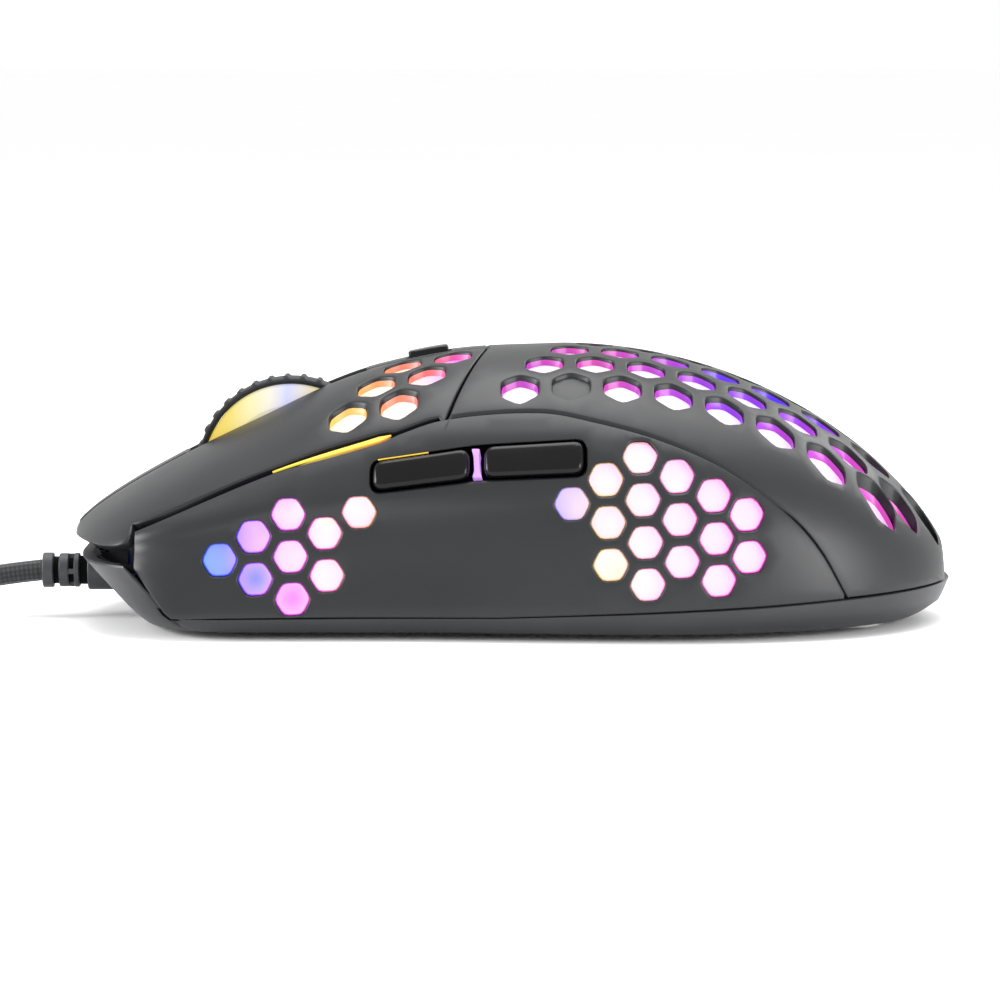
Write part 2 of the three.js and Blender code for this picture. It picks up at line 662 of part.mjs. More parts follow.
const PLUG = { start: -112.2, y: 26.7, z: 4.0 };
function plugBody() {
  const { start, y, z } = PLUG;
  const sleeve = (h0, h1, r0, r1) => solid(
    new THREE.CylinderGeometry(r1, r0, h1 - h0, 16)
      .rotateZ(-Math.PI / 2)
      .translate(start + (h0 + h1) / 2, y, z),
  );
  const grip = box(start + 7.8, start + 24, y - 6.6, y + 6.6, z - 3.7, z + 3.7);
  return sleeve(0, 8, 2.2, 3.2).add(grip);
}

function plugShell() {
  const { start, y, z } = PLUG;
  const outer = box(start + 24.3, start + 36, y - 6, y + 6, z - 2.25, z + 2.25);
  return outer.subtract(box(start + 24.9, start + 40, y - 5.7, y + 5.7, z - 1.95, z + 1.95));
}

const plugTongue = () => {
  const { start, y, z } = PLUG;
  return box(start + 25.2, start + 35.2, y - 5.4, y + 5.4, z - 0.2, z + 1.65);
};

// ---------------------------------------------------------------- assembly
const mouse = new THREE.Group();

const FINISH = {
  cover: [0x55565a, 0.62, 0],
  black: [0x1c1d1f, 0.25, 0],
  rubber: [0x3b3c3f, 0.8, 0],
  light: [0xd9a8fb, 0.4, 0],
  board: [0x17351f, 0.5, 0],
  metal: [0xb8bcc2, 0.3, 1],
  foot: [0xe8e8e6, 0.5, 0],
  cord: [0x303236, 0.85, 0],
  clear: [0xdfe6ee, 0.1, 0],
};

function add(name, manifold, finish) {
  const [color, roughness, metalness] = FINISH[finish];
  const material = new THREE.MeshStandardMaterial({ color, roughness, metalness });
  const mesh = new THREE.Mesh(geometryOf(mainBody(manifold)), material);
  mesh.name = name;
  mouse.add(mesh);
}

add('base_shell', baseShell(), 'cover');
add('palm_shell', palmCover(), 'cover');
add('center_bridge', centreBridge(), 'cover');
add('nose_bridge', noseBridge(), 'cover');
add('dpi_button', dpiButton(), 'black');
for (const [side, word] of [[-1, 'left'], [1, 'right']]) {
  const y = side * SWITCH_PRESS.y;
  add(`${word}_main_button`, mainButton(side), 'cover');
  add(`${word}_side_panel`, sidePanel(side), 'cover');
  add(`${word}_button_light_liner`, buttonLiner(side), 'light');
  add(`${word}_side_light_liner`, sideLiner(side), 'light');
  add(`${word}_click_switch`, clickSwitch(-45, -32.2, y - 2.9, y + 2.9, SWITCH_PRESS.x, y), 'black');
  add(`${word}_switch_plunger`, plunger(SWITCH_PRESS.x, y, 11.1, SWITCH_PRESS.top, 0.9), 'foot');
}
add('palm_light_liner', palmLiner(), 'light');
add('forward_thumb_button', thumbButton(FORWARD_BUTTON), 'black');
add('back_thumb_button', thumbButton(BACK_BUTTON), 'black');
add('thumb_light_separator', lightSeparator(), 'light');
add('thumb_button_frame', thumbButtonFrame(), 'black');
add('thumb_circuit_board', box(-18, 8.5, thumbBoardY, thumbBoardY + 1.2, 16, 26), 'board');
['forward', 'back'].forEach((word, i) => {
  add(`${word}_thumb_switch`, thumbSwitch(THUMB_SWITCHES[i]), 'black');
  add(`${word}_thumb_plunger`, thumbPlunger(THUMB_SWITCHES[i]), 'foot');
});

add('wheel_tyre', wheelTyre(), 'rubber');
add('wheel_hub', wheelHub(), 'clear');
add('wheel_axle', cylinder(AXLE_RADIUS, 17, 'y', [WHEEL.x, 0.6, WHEEL.z], 16), 'metal');
add('wheel_carrier', wheelCarrier(), 'black');
add('wheel_encoder', wheelEncoder(), 'board');
add('middle_click_switch', clickSwitch(-50, -44.2, -6.4, 6.4, -47, 0), 'black');
add('middle_switch_plunger', plunger(-47, 0, 11.1, SWITCH_PRESS.top, 0.9), 'foot');

add('dpi_circuit_board', box(-17.5, -4, -6, 6, DPI_BOARD_Z, DPI_BOARD_Z + 1.2), 'board');
add('dpi_switch', dpiSwitch(), 'black');
add('dpi_switch_plunger', dpiPlunger(), 'foot');

add('main_circuit_board', mainBoard(), 'board');
add('optical_sensor', box(-3, 8, -5.5, 5.5, PART_BOTTOM, 8.4), 'black');
add('sensor_lens', sensorLens(), 'clear');
add('controller_chip', box(16, 23, -3.5, 3.5, PART_BOTTOM, 6.7), 'black');
add('cable_connector', box(-26, -20, -19, -12, PART_BOTTOM, 9.5), 'foot');
[[-22, 14], [12, 16], [30, 0], [12, -16]].forEach(([x, y], i) => {
  add(`light_emitter_${i + 1}`, box(x - 1.8, x + 1.8, y - 1.8, y + 1.8, PART_BOTTOM, 7.4), 'foot');
});
SCREWS.forEach((place, i) => add(`base_screw_${i + 1}`, screw(place), 'metal'));
add('front_skate', stadium(-40, 11, 4), 'foot');
add('rear_skate', stadium(46, 9, 4.5), 'foot');

add('strain_relief', strainRelief(), 'cord');
add('cable_run', tube(CORD_ROUTE, 14), 'cord');
add('cable_coil', cableCoil(), 'cord');
add('cable_tail', tube([...descendingTurn(), ...TAIL_ROUTE.slice(1)], 20), 'cord');
add('usb_plug_body', plugBody(), 'rubber');
add('usb_plug_shell', plugShell(), 'metal');
add('usb_plug_tongue', plugTongue(), 'foot');

export default mouse;
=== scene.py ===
"""A wired honeycomb mouse: the fine covers, lit liners, wheel, buttons and braided cable around its frame."""
import math

import bmesh
import bpy
import numpy as np
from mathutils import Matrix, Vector
from mathutils.geometry import delaunay_2d_cdt


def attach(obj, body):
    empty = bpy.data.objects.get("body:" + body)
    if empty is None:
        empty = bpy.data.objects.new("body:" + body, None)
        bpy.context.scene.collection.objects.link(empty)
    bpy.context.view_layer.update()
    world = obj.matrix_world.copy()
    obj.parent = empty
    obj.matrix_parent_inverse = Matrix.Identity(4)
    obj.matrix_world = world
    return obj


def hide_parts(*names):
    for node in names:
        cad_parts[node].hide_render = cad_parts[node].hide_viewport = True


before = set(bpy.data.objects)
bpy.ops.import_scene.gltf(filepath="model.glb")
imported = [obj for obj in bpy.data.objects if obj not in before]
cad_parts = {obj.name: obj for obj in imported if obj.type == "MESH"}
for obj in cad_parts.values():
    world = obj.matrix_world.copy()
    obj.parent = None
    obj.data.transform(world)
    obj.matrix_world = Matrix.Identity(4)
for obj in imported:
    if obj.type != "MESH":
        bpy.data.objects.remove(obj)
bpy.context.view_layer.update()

MM = 0.001  # shapes are worked out in millimetres, like the frame's drawings

# ---------------------------------------------------------------- driving sizes of the outer form
HALF_LENGTH = 61.0
FRONT_HALF_WIDTH = 29.78  # a little inside the frame, whose flats lie within the true curve
TAIL_WIDENING = 2.7
FOOT_Z = 2.4           # the flanks stand upright here
SECTION_POWER = 2.8
CREST_TOP = (6.5, 38.3)
TAIL_DROP = 31.0
TAIL_POWER = 0.7
CREST_FRONT = [(-61, 13.4), (-57.8, 16.1), (-52.2, 19.7), (-43.1, 24.6), (-34.4, 28.8),
               (-25.6, 33.0), (-18.7, 35.4), (-7.5, 37.6), CREST_TOP]
SIDE_SEAM = [(-51.2, 14.5), (-32.3, 22.4), (-17, 27.1), (-9.5, 29.5), (3.5, 30.5), (11, 29.3),
             (19.6, 27.0), (28.2, 23.2), (36.9, 16.9), (41.2, 12.0), (44.9, 5.4)]
BELT = [(-62, 10.1), (-51.8, 10.1), (-46.3, 3.0), (-2, 3.4), (33, 4.8), (45, 5.4), (62, 6.1)]
CREASE = [(-51.2, 14.3), (-32.8, 18.3), (-19, 19.4), (9, 21.5), (30, 19.0), (45, 8.0)]
SCOOP_DEPTH = 1.5
LIP_X = -57            # ahead of here a cover's thickness follows the dome
SHELL = 1.6            # wall of the covers
GAP = 0.3
HINGE_X = -3.4
PANEL_FRONT = -51.2
BUTTON_INNER_Y = 3.2
SLOT_INNER_Y = 3.95
BRIDGE = (-20.5, -3.75)
WHEEL_X, WHEEL_Z = -30.9, 20.4
CABLE_Z = 6.5
CORD_RADIUS = 1.5
CORD_STEP = 0.8        # distance between rings of the cord
CORD_LOW_Z = 1.65      # the cord's middle where it lies on the desk


# ---------------------------------------------------------------- curves
def smoothstep(t):
    """0 to 1 as t goes from 0 to 1, with level ends."""
    t = np.clip(t, 0.0, 1.0)
    return t * t * (3 - 2 * t)


def along(points, x):
    """Straight lines between the points."""
    xs, zs = zip(*points)
    return np.interp(x, xs, zs)


def smooth_along(points, x):
    """A smooth curve through the points, its slopes taken from the neighbours."""
    xs = np.array([p[0] for p in points], float)
    zs = np.array([p[1] for p in points], float)
    before = np.maximum(np.arange(len(xs)) - 1, 0)
    after = np.minimum(np.arange(len(xs)) + 1, len(xs) - 1)
    slopes = (zs[after] - zs[before]) / (xs[after] - xs[before])
    x = np.asarray(x, float)
    i = np.clip(np.searchsorted(xs, x, side="right") - 1, 0, len(xs) - 2)
    step = xs[i + 1] - xs[i]
    t = (x - xs[i]) / step
    rise = zs[i + 1] - zs[i]
    a = slopes[i] * step - rise
    b = rise - slopes[i + 1] * step
    return zs[i] + t * rise + t * (1 - t) * (a * (1 - t) + b * t)


def crest(x):
    """Height of the dome along its middle."""
    x = np.asarray(x, float)
    t = np.clip((x - CREST_TOP[0]) / (HALF_LENGTH - CREST_TOP[0]), 0, 1)
    tail = CREST_TOP[1] - TAIL_DROP + TAIL_DROP * (1 - t * t) ** TAIL_POWER
    return np.where(x < CREST_TOP[0], smooth_along(CREST_FRONT, np.minimum(x, CREST_TOP[0])), tail)


def half_width(x):
    """Half the width of the dome at its foot."""
    x = np.asarray(x, float)
    width = FRONT_HALF_WIDTH + TAIL_WIDENING * smoothstep((x + 25) / 45)
    nose = np.clip((-43 - x) / 18, 0, 1)
    tail = np.clip((x - 14) / 47, 0, 1)
    return width * (1 - nose ** 2.8) ** (1 / 2.8) * (1 - tail ** 2.4) ** 0.5


def side_seam(x):
    """Height of the seam between a flank and the covers above it."""
    return smooth_along(SIDE_SEAM, np.clip(x, SIDE_SEAM[0][0], SIDE_SEAM[-1][0]))


def belt(x):
    """Height of the line where the covers meet the base."""
    return along(BELT, x)


def split_x(y):
    """The line in plan where the main buttons meet the palm cover."""
    return HINGE_X - 6.45 * (np.abs(y) / 24) ** 1.5


def scoop(x, z):
    """How far the flank is hollowed below its crease, for the thumb."""
    line = along(CREASE, x)
    t = np.clip((line - z) / (line - FOOT_Z), 0, 1)
    shoulder = smoothstep(t / 0.22) * (1 - 0.75 * smoothstep((t - 0.5) / 0.5))
    depth = SCOOP_DEPTH * (1 - smoothstep((x + 22) / 48))
    return np.where(x < PANEL_FRONT - 0.1, 0.0, depth * shoulder)


def unit(vectors):
    """The vectors, each made one long."""
    return vectors / np.maximum(np.linalg.norm(vectors, axis=1, keepdims=True), 1e-9)


def distances(points):
    """How far along the path each point lies."""
    return np.concatenate([[0], np.cumsum(np.linalg.norm(np.diff(points, axis=0), axis=1))])


def places(at, s, points):
    """The points of a path at these distances, where s holds the distance of each known point."""
    return np.stack([np.interp(at, s, column) for column in points.T], -1)


def circle(count):
    """Points round a circle one in radius."""
    angles = np.linspace(0, 2 * np.pi, count, endpoint=False)
    return np.column_stack([np.cos(angles), np.sin(angles)])


# ---------------------------------------------------------------- the dome as a stretched sheet
# Every cover is drawn on a flat sheet: a runs from nose to tail and b across, both close to
# true lengths on the surface. surface() bends the sheet onto the dome.
STATION_X = -np.cos(np.linspace(0, np.pi, 4000)) * (HALF_LENGTH - 0.02)
_steps = np.sqrt(np.diff(STATION_X) ** 2 + np.diff(crest(STATION_X)) ** 2
                 + 0.5 * np.diff(half_width(STATION_X)) ** 2)
STATION_A = np.concatenate([[0], np.cumsum(_steps)])
STATION_A -= np.interp(0.0, STATION_X, STATION_A)
SECTION_ANGLE = np.linspace(0, np.pi / 2, 3000)
_y = 31.0 * np.sin(SECTION_ANGLE)
_z = 32.0 * np.clip(np.cos(SECTION_ANGLE), 0, 1) ** (2 / SECTION_POWER)
SECTION_B = np.concatenate([[0], np.cumsum(np.hypot(np.diff(_y), np.diff(_z)))])


def dome_point(a, b):
    """The point of the dome at that place of the sheet."""
    x = np.interp(a, STATION_A, STATION_X)
    angle = np.interp(np.abs(b), SECTION_B, SECTION_ANGLE)
    z = FOOT_Z + (crest(x) - FOOT_Z) * np.clip(np.cos(angle), 0, 1) ** (2 / SECTION_POWER)
    y = half_width(x) * np.sin(angle)
    y = np.sign(b) * np.maximum(y - scoop(x, z), 0)
    return np.stack([x, y, z], axis=-1)


def surface(ab, depth):
    """Points at that depth under the dome, for sheet points ab."""
    a, b = ab[:, 0], ab[:, 1]
    h = 0.05
    da = dome_point(a + h, b) - dome_point(a - h, b)
    db = dome_point(a, b + h) - dome_point(a, b - h)
    normal = unit(np.cross(da, db))
    return dome_point(a, b) - normal * np.reshape(depth, (-1, 1))


def pressed(ab, depth, direction, low, high):
    """Points under the dome, moved along a direction where the dome faces it, so that openings are straight.

    Ahead of LIP_X the cover has no openings and its thickness follows the dome.
    """
    top = dome_point(ab[:, 0], ab[:, 1])
    normal = top - surface(ab, np.ones(len(ab)))
    facing = normal @ direction if np.ndim(direction) == 1 else (normal * direction).sum(1)
    share = smoothstep((facing - low) / (high - low)) * smoothstep((top[:, 0] - LIP_X) / 5)
    share = share[:, None]
    way = unit(share * direction + (1 - share) * normal)
    return top - way * (np.reshape(depth, -1) / np.maximum((way * normal).sum(1), 0.45))[:, None]


def from_above(ab, depth):
    """Straight down, as the openings of the back are cut."""
    return pressed(ab, depth, np.array([0.0, 0.0, 1.0]), 0.3, 0.5)


def from_above_button(ab, depth):
    """Straight down at the openings of a main button, and along the dome beside its seam."""
    return pressed(ab, depth, np.array([0.0, 0.0, 1.0]), 0.75, 0.8)


def from_side(ab, depth):
    """Straight in from the side, as the openings of a flank are cut."""
    outward = np.column_stack([np.zeros(len(ab)), np.sign(ab[:, 1]), np.zeros(len(ab))])
    return pressed(ab, depth, outward, 0.74, 0.82)


def sheet_from_plan(x, y):
    """The place on the sheet of a point seen from above."""
    x, y = np.broadcast_arrays(np.asarray(x, float), np.asarray(y, float))
    angle = np.arcsin(np.clip(np.abs(y) / half_width(x), 0, 1))
    b = np.sign(y) * np.interp(angle, SECTION_ANGLE, SECTION_B)
    return np.stack([np.interp(x, STATION_X, STATION_A), b], axis=-1)


def sheet_from_side(x, z, side):
    """The place on the sheet of a point seen from the side."""
    x, z = np.broadcast_arrays(np.asarray(x, float), np.asarray(z, float))
    share = np.clip((z - FOOT_Z) / (crest(x) - FOOT_Z), 0, 1)
    angle = np.arccos(share ** (SECTION_POWER / 2))
    b = side * np.interp(angle, SECTION_ANGLE, SECTION_B)
    return np.stack([np.interp(x, STATION_X, STATION_A), b], axis=-1)


# ---------------------------------------------------------------- loops on the sheet
def area(loop):
    """The area of a loop, positive where it runs to the left."""
    x, y = loop[:, 0], loop[:, 1]
    return 0.5 * np.sum(x * np.roll(y, -1) - y * np.roll(x, -1))


def turns_between(behind, ahead):
    """The angle each side of a loop makes with the one before it."""
    return np.arctan2(behind[:, 0] * ahead[:, 1] - behind[:, 1] * ahead[:, 0], (behind * ahead).sum(1))


def resample(loop, step, sharp=0.5):
    """Even spacing round a closed loop, keeping its corners."""
    ahead = np.roll(loop, -1, axis=0) - loop
    keep = np.linalg.norm(ahead, axis=1) > 1e-6
    loop = loop[keep]
    ahead = np.roll(loop, -1, axis=0) - loop
    behind = loop - np.roll(loop, 1, axis=0)
    turn = np.abs(turns_between(behind, ahead))
    corners = np.flatnonzero(turn > sharp)
    if len(corners) == 0:
        corners = np.array([0])
    out = []
    for n, start in enumerate(corners):
        stop = corners[(n + 1) % len(corners)]
        span = (stop - start) % len(loop) or len(loop)
        run = loop[(start + np.arange(span + 1)) % len(loop)]
        s = distances(run)
        count = max(int(round(s[-1] / step)), 1)
        at = np.linspace(0, s[-1], count + 1)[:-1]
        out.append(places(at, s, run))
    return np.concatenate(out)


def offset_loop(loop, distance):
    """The loop moved to its left."""
    ahead = unit(np.roll(loop, -1, axis=0) - loop)
    left = np.stack([-ahead[:, 1], ahead[:, 0]], axis=-1)
    before = np.roll(left, 1, axis=0)
    mid = left + before
    stretch = np.maximum((mid * left).sum(1, keepdims=True), 0.6)
    return loop + distance * mid / stretch


def inside(points, loops):
    """Which points lie inside the first loop and outside the others, counting crossings."""
    odd = np.zeros(len(points), bool)
    px, py = points[:, :1], points[:, 1:]
    for loop in loops:
        x0, y0 = loop[:, 0], loop[:, 1]
        x1, y1 = np.roll(x0, -1), np.roll(y0, -1)
        crosses = (y0 > py) != (y1 > py)
        with np.errstate(divide="ignore", invalid="ignore"):
            at = x0 + (py - y0) * (x1 - x0) / (y1 - y0)
        odd ^= (np.sum(crosses & (px < at), axis=1) % 2).astype(bool)
    return odd


def rounded(corners, radius, steps=3):
    """A closed outline with its corners rounded."""
    corners = np.asarray(corners, float)
    out = []
    for i, corner in enumerate(corners):
        to_last = corners[i - 1] - corner
        to_next = corners[(i + 1) % len(corners)] - corner
        cut = min(radius, 0.45 * np.linalg.norm(to_last), 0.45 * np.linalg.norm(to_next))
        p0 = corner + to_last / np.linalg.norm(to_last) * cut
        p2 = corner + to_next / np.linalg.norm(to_next) * cut
        for t in np.linspace(0, 1, steps):
            out.append((1 - t) ** 2 * p0 + 2 * t * (1 - t) * corner + t * t * p2)
    return np.array(out)


def subdivided(points, step):
    """The outline with extra points, so that it follows a curved surface."""
    out = []
    for p, q in zip(points, np.roll(points, -1, axis=0)):
        count = max(int(np.ceil(np.linalg.norm(q - p) / step)), 1)
        out += [p + (q - p) * k / count for k in range(count)]
    return np.array(out)


def hexagon(centre, across, turn, corner=0.75):
    """A hexagon with rounded corners."""
    angles = turn + np.arange(6) * np.pi / 3
    radius = across / math.sqrt(3)
    corners = np.stack([centre[0] + radius * np.cos(angles), centre[1] + radius * np.sin(angles)], -1)
    return subdivided(rounded(corners, corner), 0.8)


# ---------------------------------------------------------------- meshes
def new_object(name, vertices, faces, materials, slots=None, smooth_angle=35, uvs=None):
    """An object from vertices in millimetres, smooth but for its sharp edges."""
    mesh = bpy.data.meshes.new(name)
    mesh.from_pydata([tuple(v) for v in np.asarray(vertices) * MM], [], faces)
    for material in materials:
        mesh.materials.append(material)
    if slots is not None:
        mesh.polygons.foreach_set("material_index", slots)
    if uvs is not None:
        layer = mesh.uv_layers.new(name="UVMap")
        layer.data.foreach_set("uv", np.asarray(uvs, np.float32).ravel())
    mesh.validate()
    mesh.shade_smooth()
    mesh.set_sharp_from_angle(angle=math.radians(smooth_angle))
    made = bpy.data.objects.new(name, mesh)
    bpy.context.scene.collection.objects.link(made)
    return made


def settle(piece, body, nodes):
    """Lets a piece ride its body and stand for its frame nodes."""
    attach(piece, body)
    if nodes:
        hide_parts(*nodes)
    return piece


def finish_piece(name, parts, materials, body, nodes, slots=None, smooth_angle=35):
    """Joins the parts into one object and settles it."""
    vertices, faces = join_meshes(parts)
    piece = new_object(name, vertices, faces, materials, slots, smooth_angle)
    return settle(piece, body, nodes)


def triangulate(loops, extra, precision):
    """Fills the first loop less the others: corners, triangles, each corner's sources, loop starts."""
    points = np.concatenate(loops + [extra])
    starts = np.cumsum([0] + [len(loop) for loop in loops])
    edges = [(s + i, s + (i + 1) % len(loop)) for s, loop in zip(starts, loops) for i in range(len(loop))]
    found = delaunay_2d_cdt([Vector(p) for p in points], edges, [], 0, precision)
    corners = np.array([tuple(v) for v in found[0]])
    triangles = np.array([t for t in found[2] if len(t) == 3])
    return corners, triangles[inside(corners[triangles].mean(1), loops)], found[3], starts


def sheet_patch(outline, holes=(), top=0.0, thickness=SHELL, rim=0.28, spacing=1.7, place=surface,
                step=0.9):
    """A closed, rounded-edge patch of the dome: (vertices, faces). Its edges are quarter rounds."""
    outline = resample(np.asarray(outline, float), step)
    loops = [outline if area(outline) > 0 else outline[::-1]]
    loops += [h if area(h) < 0 else h[::-1] for h in holes]
    inner = [offset_loop(loop, rim) for loop in loops]
    low, high = inner[0].min(0), inner[0].max(0)
    rows = np.arange(low[1], high[1], spacing * 0.87)
    grid = [np.stack([np.arange(low[0] + (k % 2) * spacing / 2, high[0], spacing)] * 2, -1)
            for k in range(len(rows))]
    for row, b in zip(grid, rows):
        row[:, 1] = b
    grid = np.concatenate(grid) if grid else np.zeros((0, 2))
    grid = grid[inside(grid, inner)] if len(grid) else grid
    edge_points = np.concatenate(inner)
    if len(grid):
        near = np.min(np.linalg.norm(grid[:, None] - edge_points[None], axis=2), axis=1)
        grid = grid[near > 0.6 * spacing]
    flat, tris, origins, starts = triangulate(inner, grid, 1e-5)
    where = {i: n for n, group in enumerate(origins) for i in group}
    count = len(flat)
    rings = [(rim * (1 - math.sin(u)), rim * (1 - math.cos(u))) for u in (0.52, 1.05, math.pi / 2)]
    rings.append((0.0, max(thickness - 0.6 * rim, rim + 0.05)))
    vertices = [place(flat, np.full(count, top)), place(flat, np.full(count, top + thickness))]
    faces = [tuple(t) for t in tris] + [tuple(t[::-1] + count) for t in tris]
    total = 2 * count
    for s, loop in zip(starts, loops):
        above = [where[s + i] for i in range(len(loop))]
        below = [index + count for index in above]
        for shift, depth in rings:
            ring = list(range(total, total + len(loop)))
            vertices.append(place(offset_loop(loop, shift), np.full(len(loop), top + depth)))
            total += len(loop)
            faces += strip(above, ring)
            above = ring
        faces += strip(above, below)
    return np.concatenate(vertices), faces


def strip(upper, lower):
    """The faces between two rings."""
    count = len(upper)
    return [(upper[i], lower[i], lower[(i + 1) % count], upper[(i + 1) % count]) for i in range(count)]


def join_meshes(parts):
    """Several (vertices, faces) as one."""
    vertices, faces, shift = [], [], 0
    for part_vertices, part_faces in parts:
        vertices.append(part_vertices)
        faces += [tuple(i + shift for i in face) for face in part_faces]
        shift += len(part_vertices)
    return np.concatenate(vertices), faces


def ribbon(path, width, top, thickness):
    """A thin strip of the dome along a path on the sheet. width may differ along it."""
    path = np.asarray(path, float)
    ahead = unit(np.gradient(path, axis=0))
    left = np.stack([-ahead[:, 1], ahead[:, 0]], -1)
    corners = []
    for across, depth in ((-1, top), (1, top), (1, top + thickness), (-1, top + thickness)):
        half = np.broadcast_to(np.reshape(width, (-1, 1)) / 2, left.shape)
        corners.append(surface(path + left * half * across, np.full(len(path), depth)))
    vertices = np.stack(corners, axis=1).reshape(-1, 3)
    faces = []
    for i in range(len(path) - 1):
        for k in range(4):
            m = (k + 1) % 4
            faces.append((4 * i + k, 4 * i + 4 + k, 4 * i + 4 + m, 4 * i + m))
    last = 4 * (len(path) - 1)
    faces += [(0, 1, 2, 3), (last + 3, last + 2, last + 1, last)]
    return vertices, faces


def lathe(profile, axis, centre, sides=64):
    """A solid of revolution from an outline of (radius, height along axis)."""
    profile = np.asarray(profile, float)
    count = len(profile)
    radius, height = profile[:, 0], profile[:, 1]
    u, v = (np.outer(share, radius) for share in circle(sides).T)
    w = np.broadcast_to(height, u.shape)
    order = {"x": (w, u, v), "y": (v, w, u), "z": (u, v, w)}[axis]
    vertices = np.stack(order, -1).reshape(-1, 3) + np.asarray(centre)
    faces = []
    for s in range(sides):
        t = (s + 1) % sides
        for k in range(count):
            m = (k + 1) % count
            faces.append((s * count + k, t * count + k, t * count + m, s * count + m))
    return vertices, faces


# ---------------------------------------------------------------- materials
GLOW_DRIFT = 2.0  # millimetres by which the glow's colours wander


class Look:
    """A procedural material, built on its Principled shader."""

    def __init__(self, name):
        self.material = bpy.data.materials.new(name)
        self.material.use_nodes = True
        self.tree = self.material.node_tree
        self.shader = self.tree.nodes["Principled BSDF"]
        self.place = self.add("ShaderNodeTexCoord").outputs["Object"]

    def add(self, kind, **settings):
        """A new node with those settings."""
        node = self.tree.nodes.new(kind)
        for key, value in settings.items():
            setattr(node, key, value)
        return node

    def link(self, source, target):
        """Joins two sockets."""
        self.tree.links.new(source, target)

    def set(self, **values):
        """Sets inputs of the shader; an underscore stands for a space."""
        self.fill(self.shader, {key.replace("_", " "): value for key, value in values.items()})
        return self

    def fill(self, node, values):
        """Sets inputs of a node by name."""
        for key, value in values.items():
            node.inputs[key].default_value = value

    def noise(self, scale, detail=3.0):
        """Cloudy noise fixed to the object."""
        node = self.add("ShaderNodeTexNoise")
        self.fill(node, {"Scale": scale, "Detail": detail})
        self.link(self.place, node.inputs["Vector"])
        return node.outputs["Fac"]

    def ramp(self, factor, stops):
        """A colour for each value of the factor."""
        node = self.add("ShaderNodeValToRGB")
        band = node.color_ramp
        while len(band.elements) < len(stops):
            band.elements.new(0.5)
        for element, (position, color) in zip(band.elements, stops):
            element.position = position
            element.color = (*color, 1.0)
        self.link(factor, node.inputs["Fac"])
        return node.outputs["Color"]

    def along(self, axis, low, high):
        """0 to 1 along an axis of the object, from low to high in millimetres."""
        split = self.add("ShaderNodeSeparateXYZ")
        self.link(self.place, split.inputs[0])
        scaled = self.add("ShaderNodeMapRange")
        self.fill(scaled, {"From Min": low * MM, "From Max": high * MM})
        self.link(split.outputs[axis], scaled.inputs["Value"])
        return scaled.outputs["Result"]

    def math(self, operation, first, second):
        """One sum of two sockets or numbers."""
        node = self.add("ShaderNodeMath", operation=operation)
        for socket, value in zip(node.inputs, (first, second)):
            if isinstance(value, (int, float)):
                socket.default_value = value
            else:
                self.link(value, socket)
        return node.outputs[0]

    def spot(self, color, x, y, z, reach, code):
        """The colour with another one round a point. Where y is None it does so on both flanks."""
        flat = self.add("ShaderNodeVectorMath", operation="MULTIPLY")
        flat.inputs[1].default_value = (1, 0 if y is None else 1, 1)
        self.link(self.place, flat.inputs[0])
        away = self.add("ShaderNodeVectorMath", operation="DISTANCE")
        away.inputs[1].default_value = (x * MM, (y or 0) * MM, z * MM)
        self.link(flat.outputs[0], away.inputs[0])
        near = self.add("ShaderNodeMapRange", interpolation_type="SMOOTHSTEP")
        self.fill(near, {"From Min": 0, "From Max": reach * MM, "To Min": 1, "To Max": 0})
        self.link(away.outputs["Value"], near.inputs["Value"])
        mix = self.add("ShaderNodeMix", data_type="RGBA")
        mix.inputs["B"].default_value = (*srgb(code), 1)
        self.link(near.outputs["Result"], mix.inputs["Factor"])
        self.link(color, mix.inputs["A"])
        return mix.outputs["Result"]

    def bump(self, height, strength, distance):
        """Raises the surface by that height."""
        node = self.add("ShaderNodeBump")
        self.fill(node, {"Strength": strength, "Distance": distance})
        self.link(height, node.inputs["Height"])
        self.link(node.outputs["Normal"], self.shader.inputs["Normal"])
        return self

    def vary(self, socket, factor, low, high):
        """The socket runs between two numbers as the factor goes from 0.3 to 0.7."""
        node = self.add("ShaderNodeMapRange")
        self.fill(node, {"From Min": 0.3, "From Max": 0.7, "To Min": low, "To Max": high})
        self.link(factor, node.inputs["Value"])
        self.link(node.outputs["Result"], self.shader.inputs[socket])
        return self


def srgb(code):
    """A web colour as linear numbers."""
    channels = [int(code[i:i + 2], 16) / 255 for i in (1, 3, 5)]
    return tuple(c / 12.92 if c <= 0.04045 else ((c + 0.055) / 1.055) ** 2.4 for c in channels)


def moulded(name, dark, light, roughness, grain=2600, strength=0.25, specular=0.5):
    """Moulded plastic: cloudy colour, uneven gloss and a fine grain."""
    look = Look(name).set(Specular_IOR_Level=specular)
    clouds = look.noise(60, 2)
    look.link(look.ramp(clouds, [(0.3, srgb(dark)), (0.7, srgb(light))]), look.shader.inputs["Base Color"])
    look.vary("Roughness", look.noise(150, 2), roughness - 0.02, roughness + 0.02)
    look.bump(look.noise(grain, 2), strength, 0.00002)
    return look.material


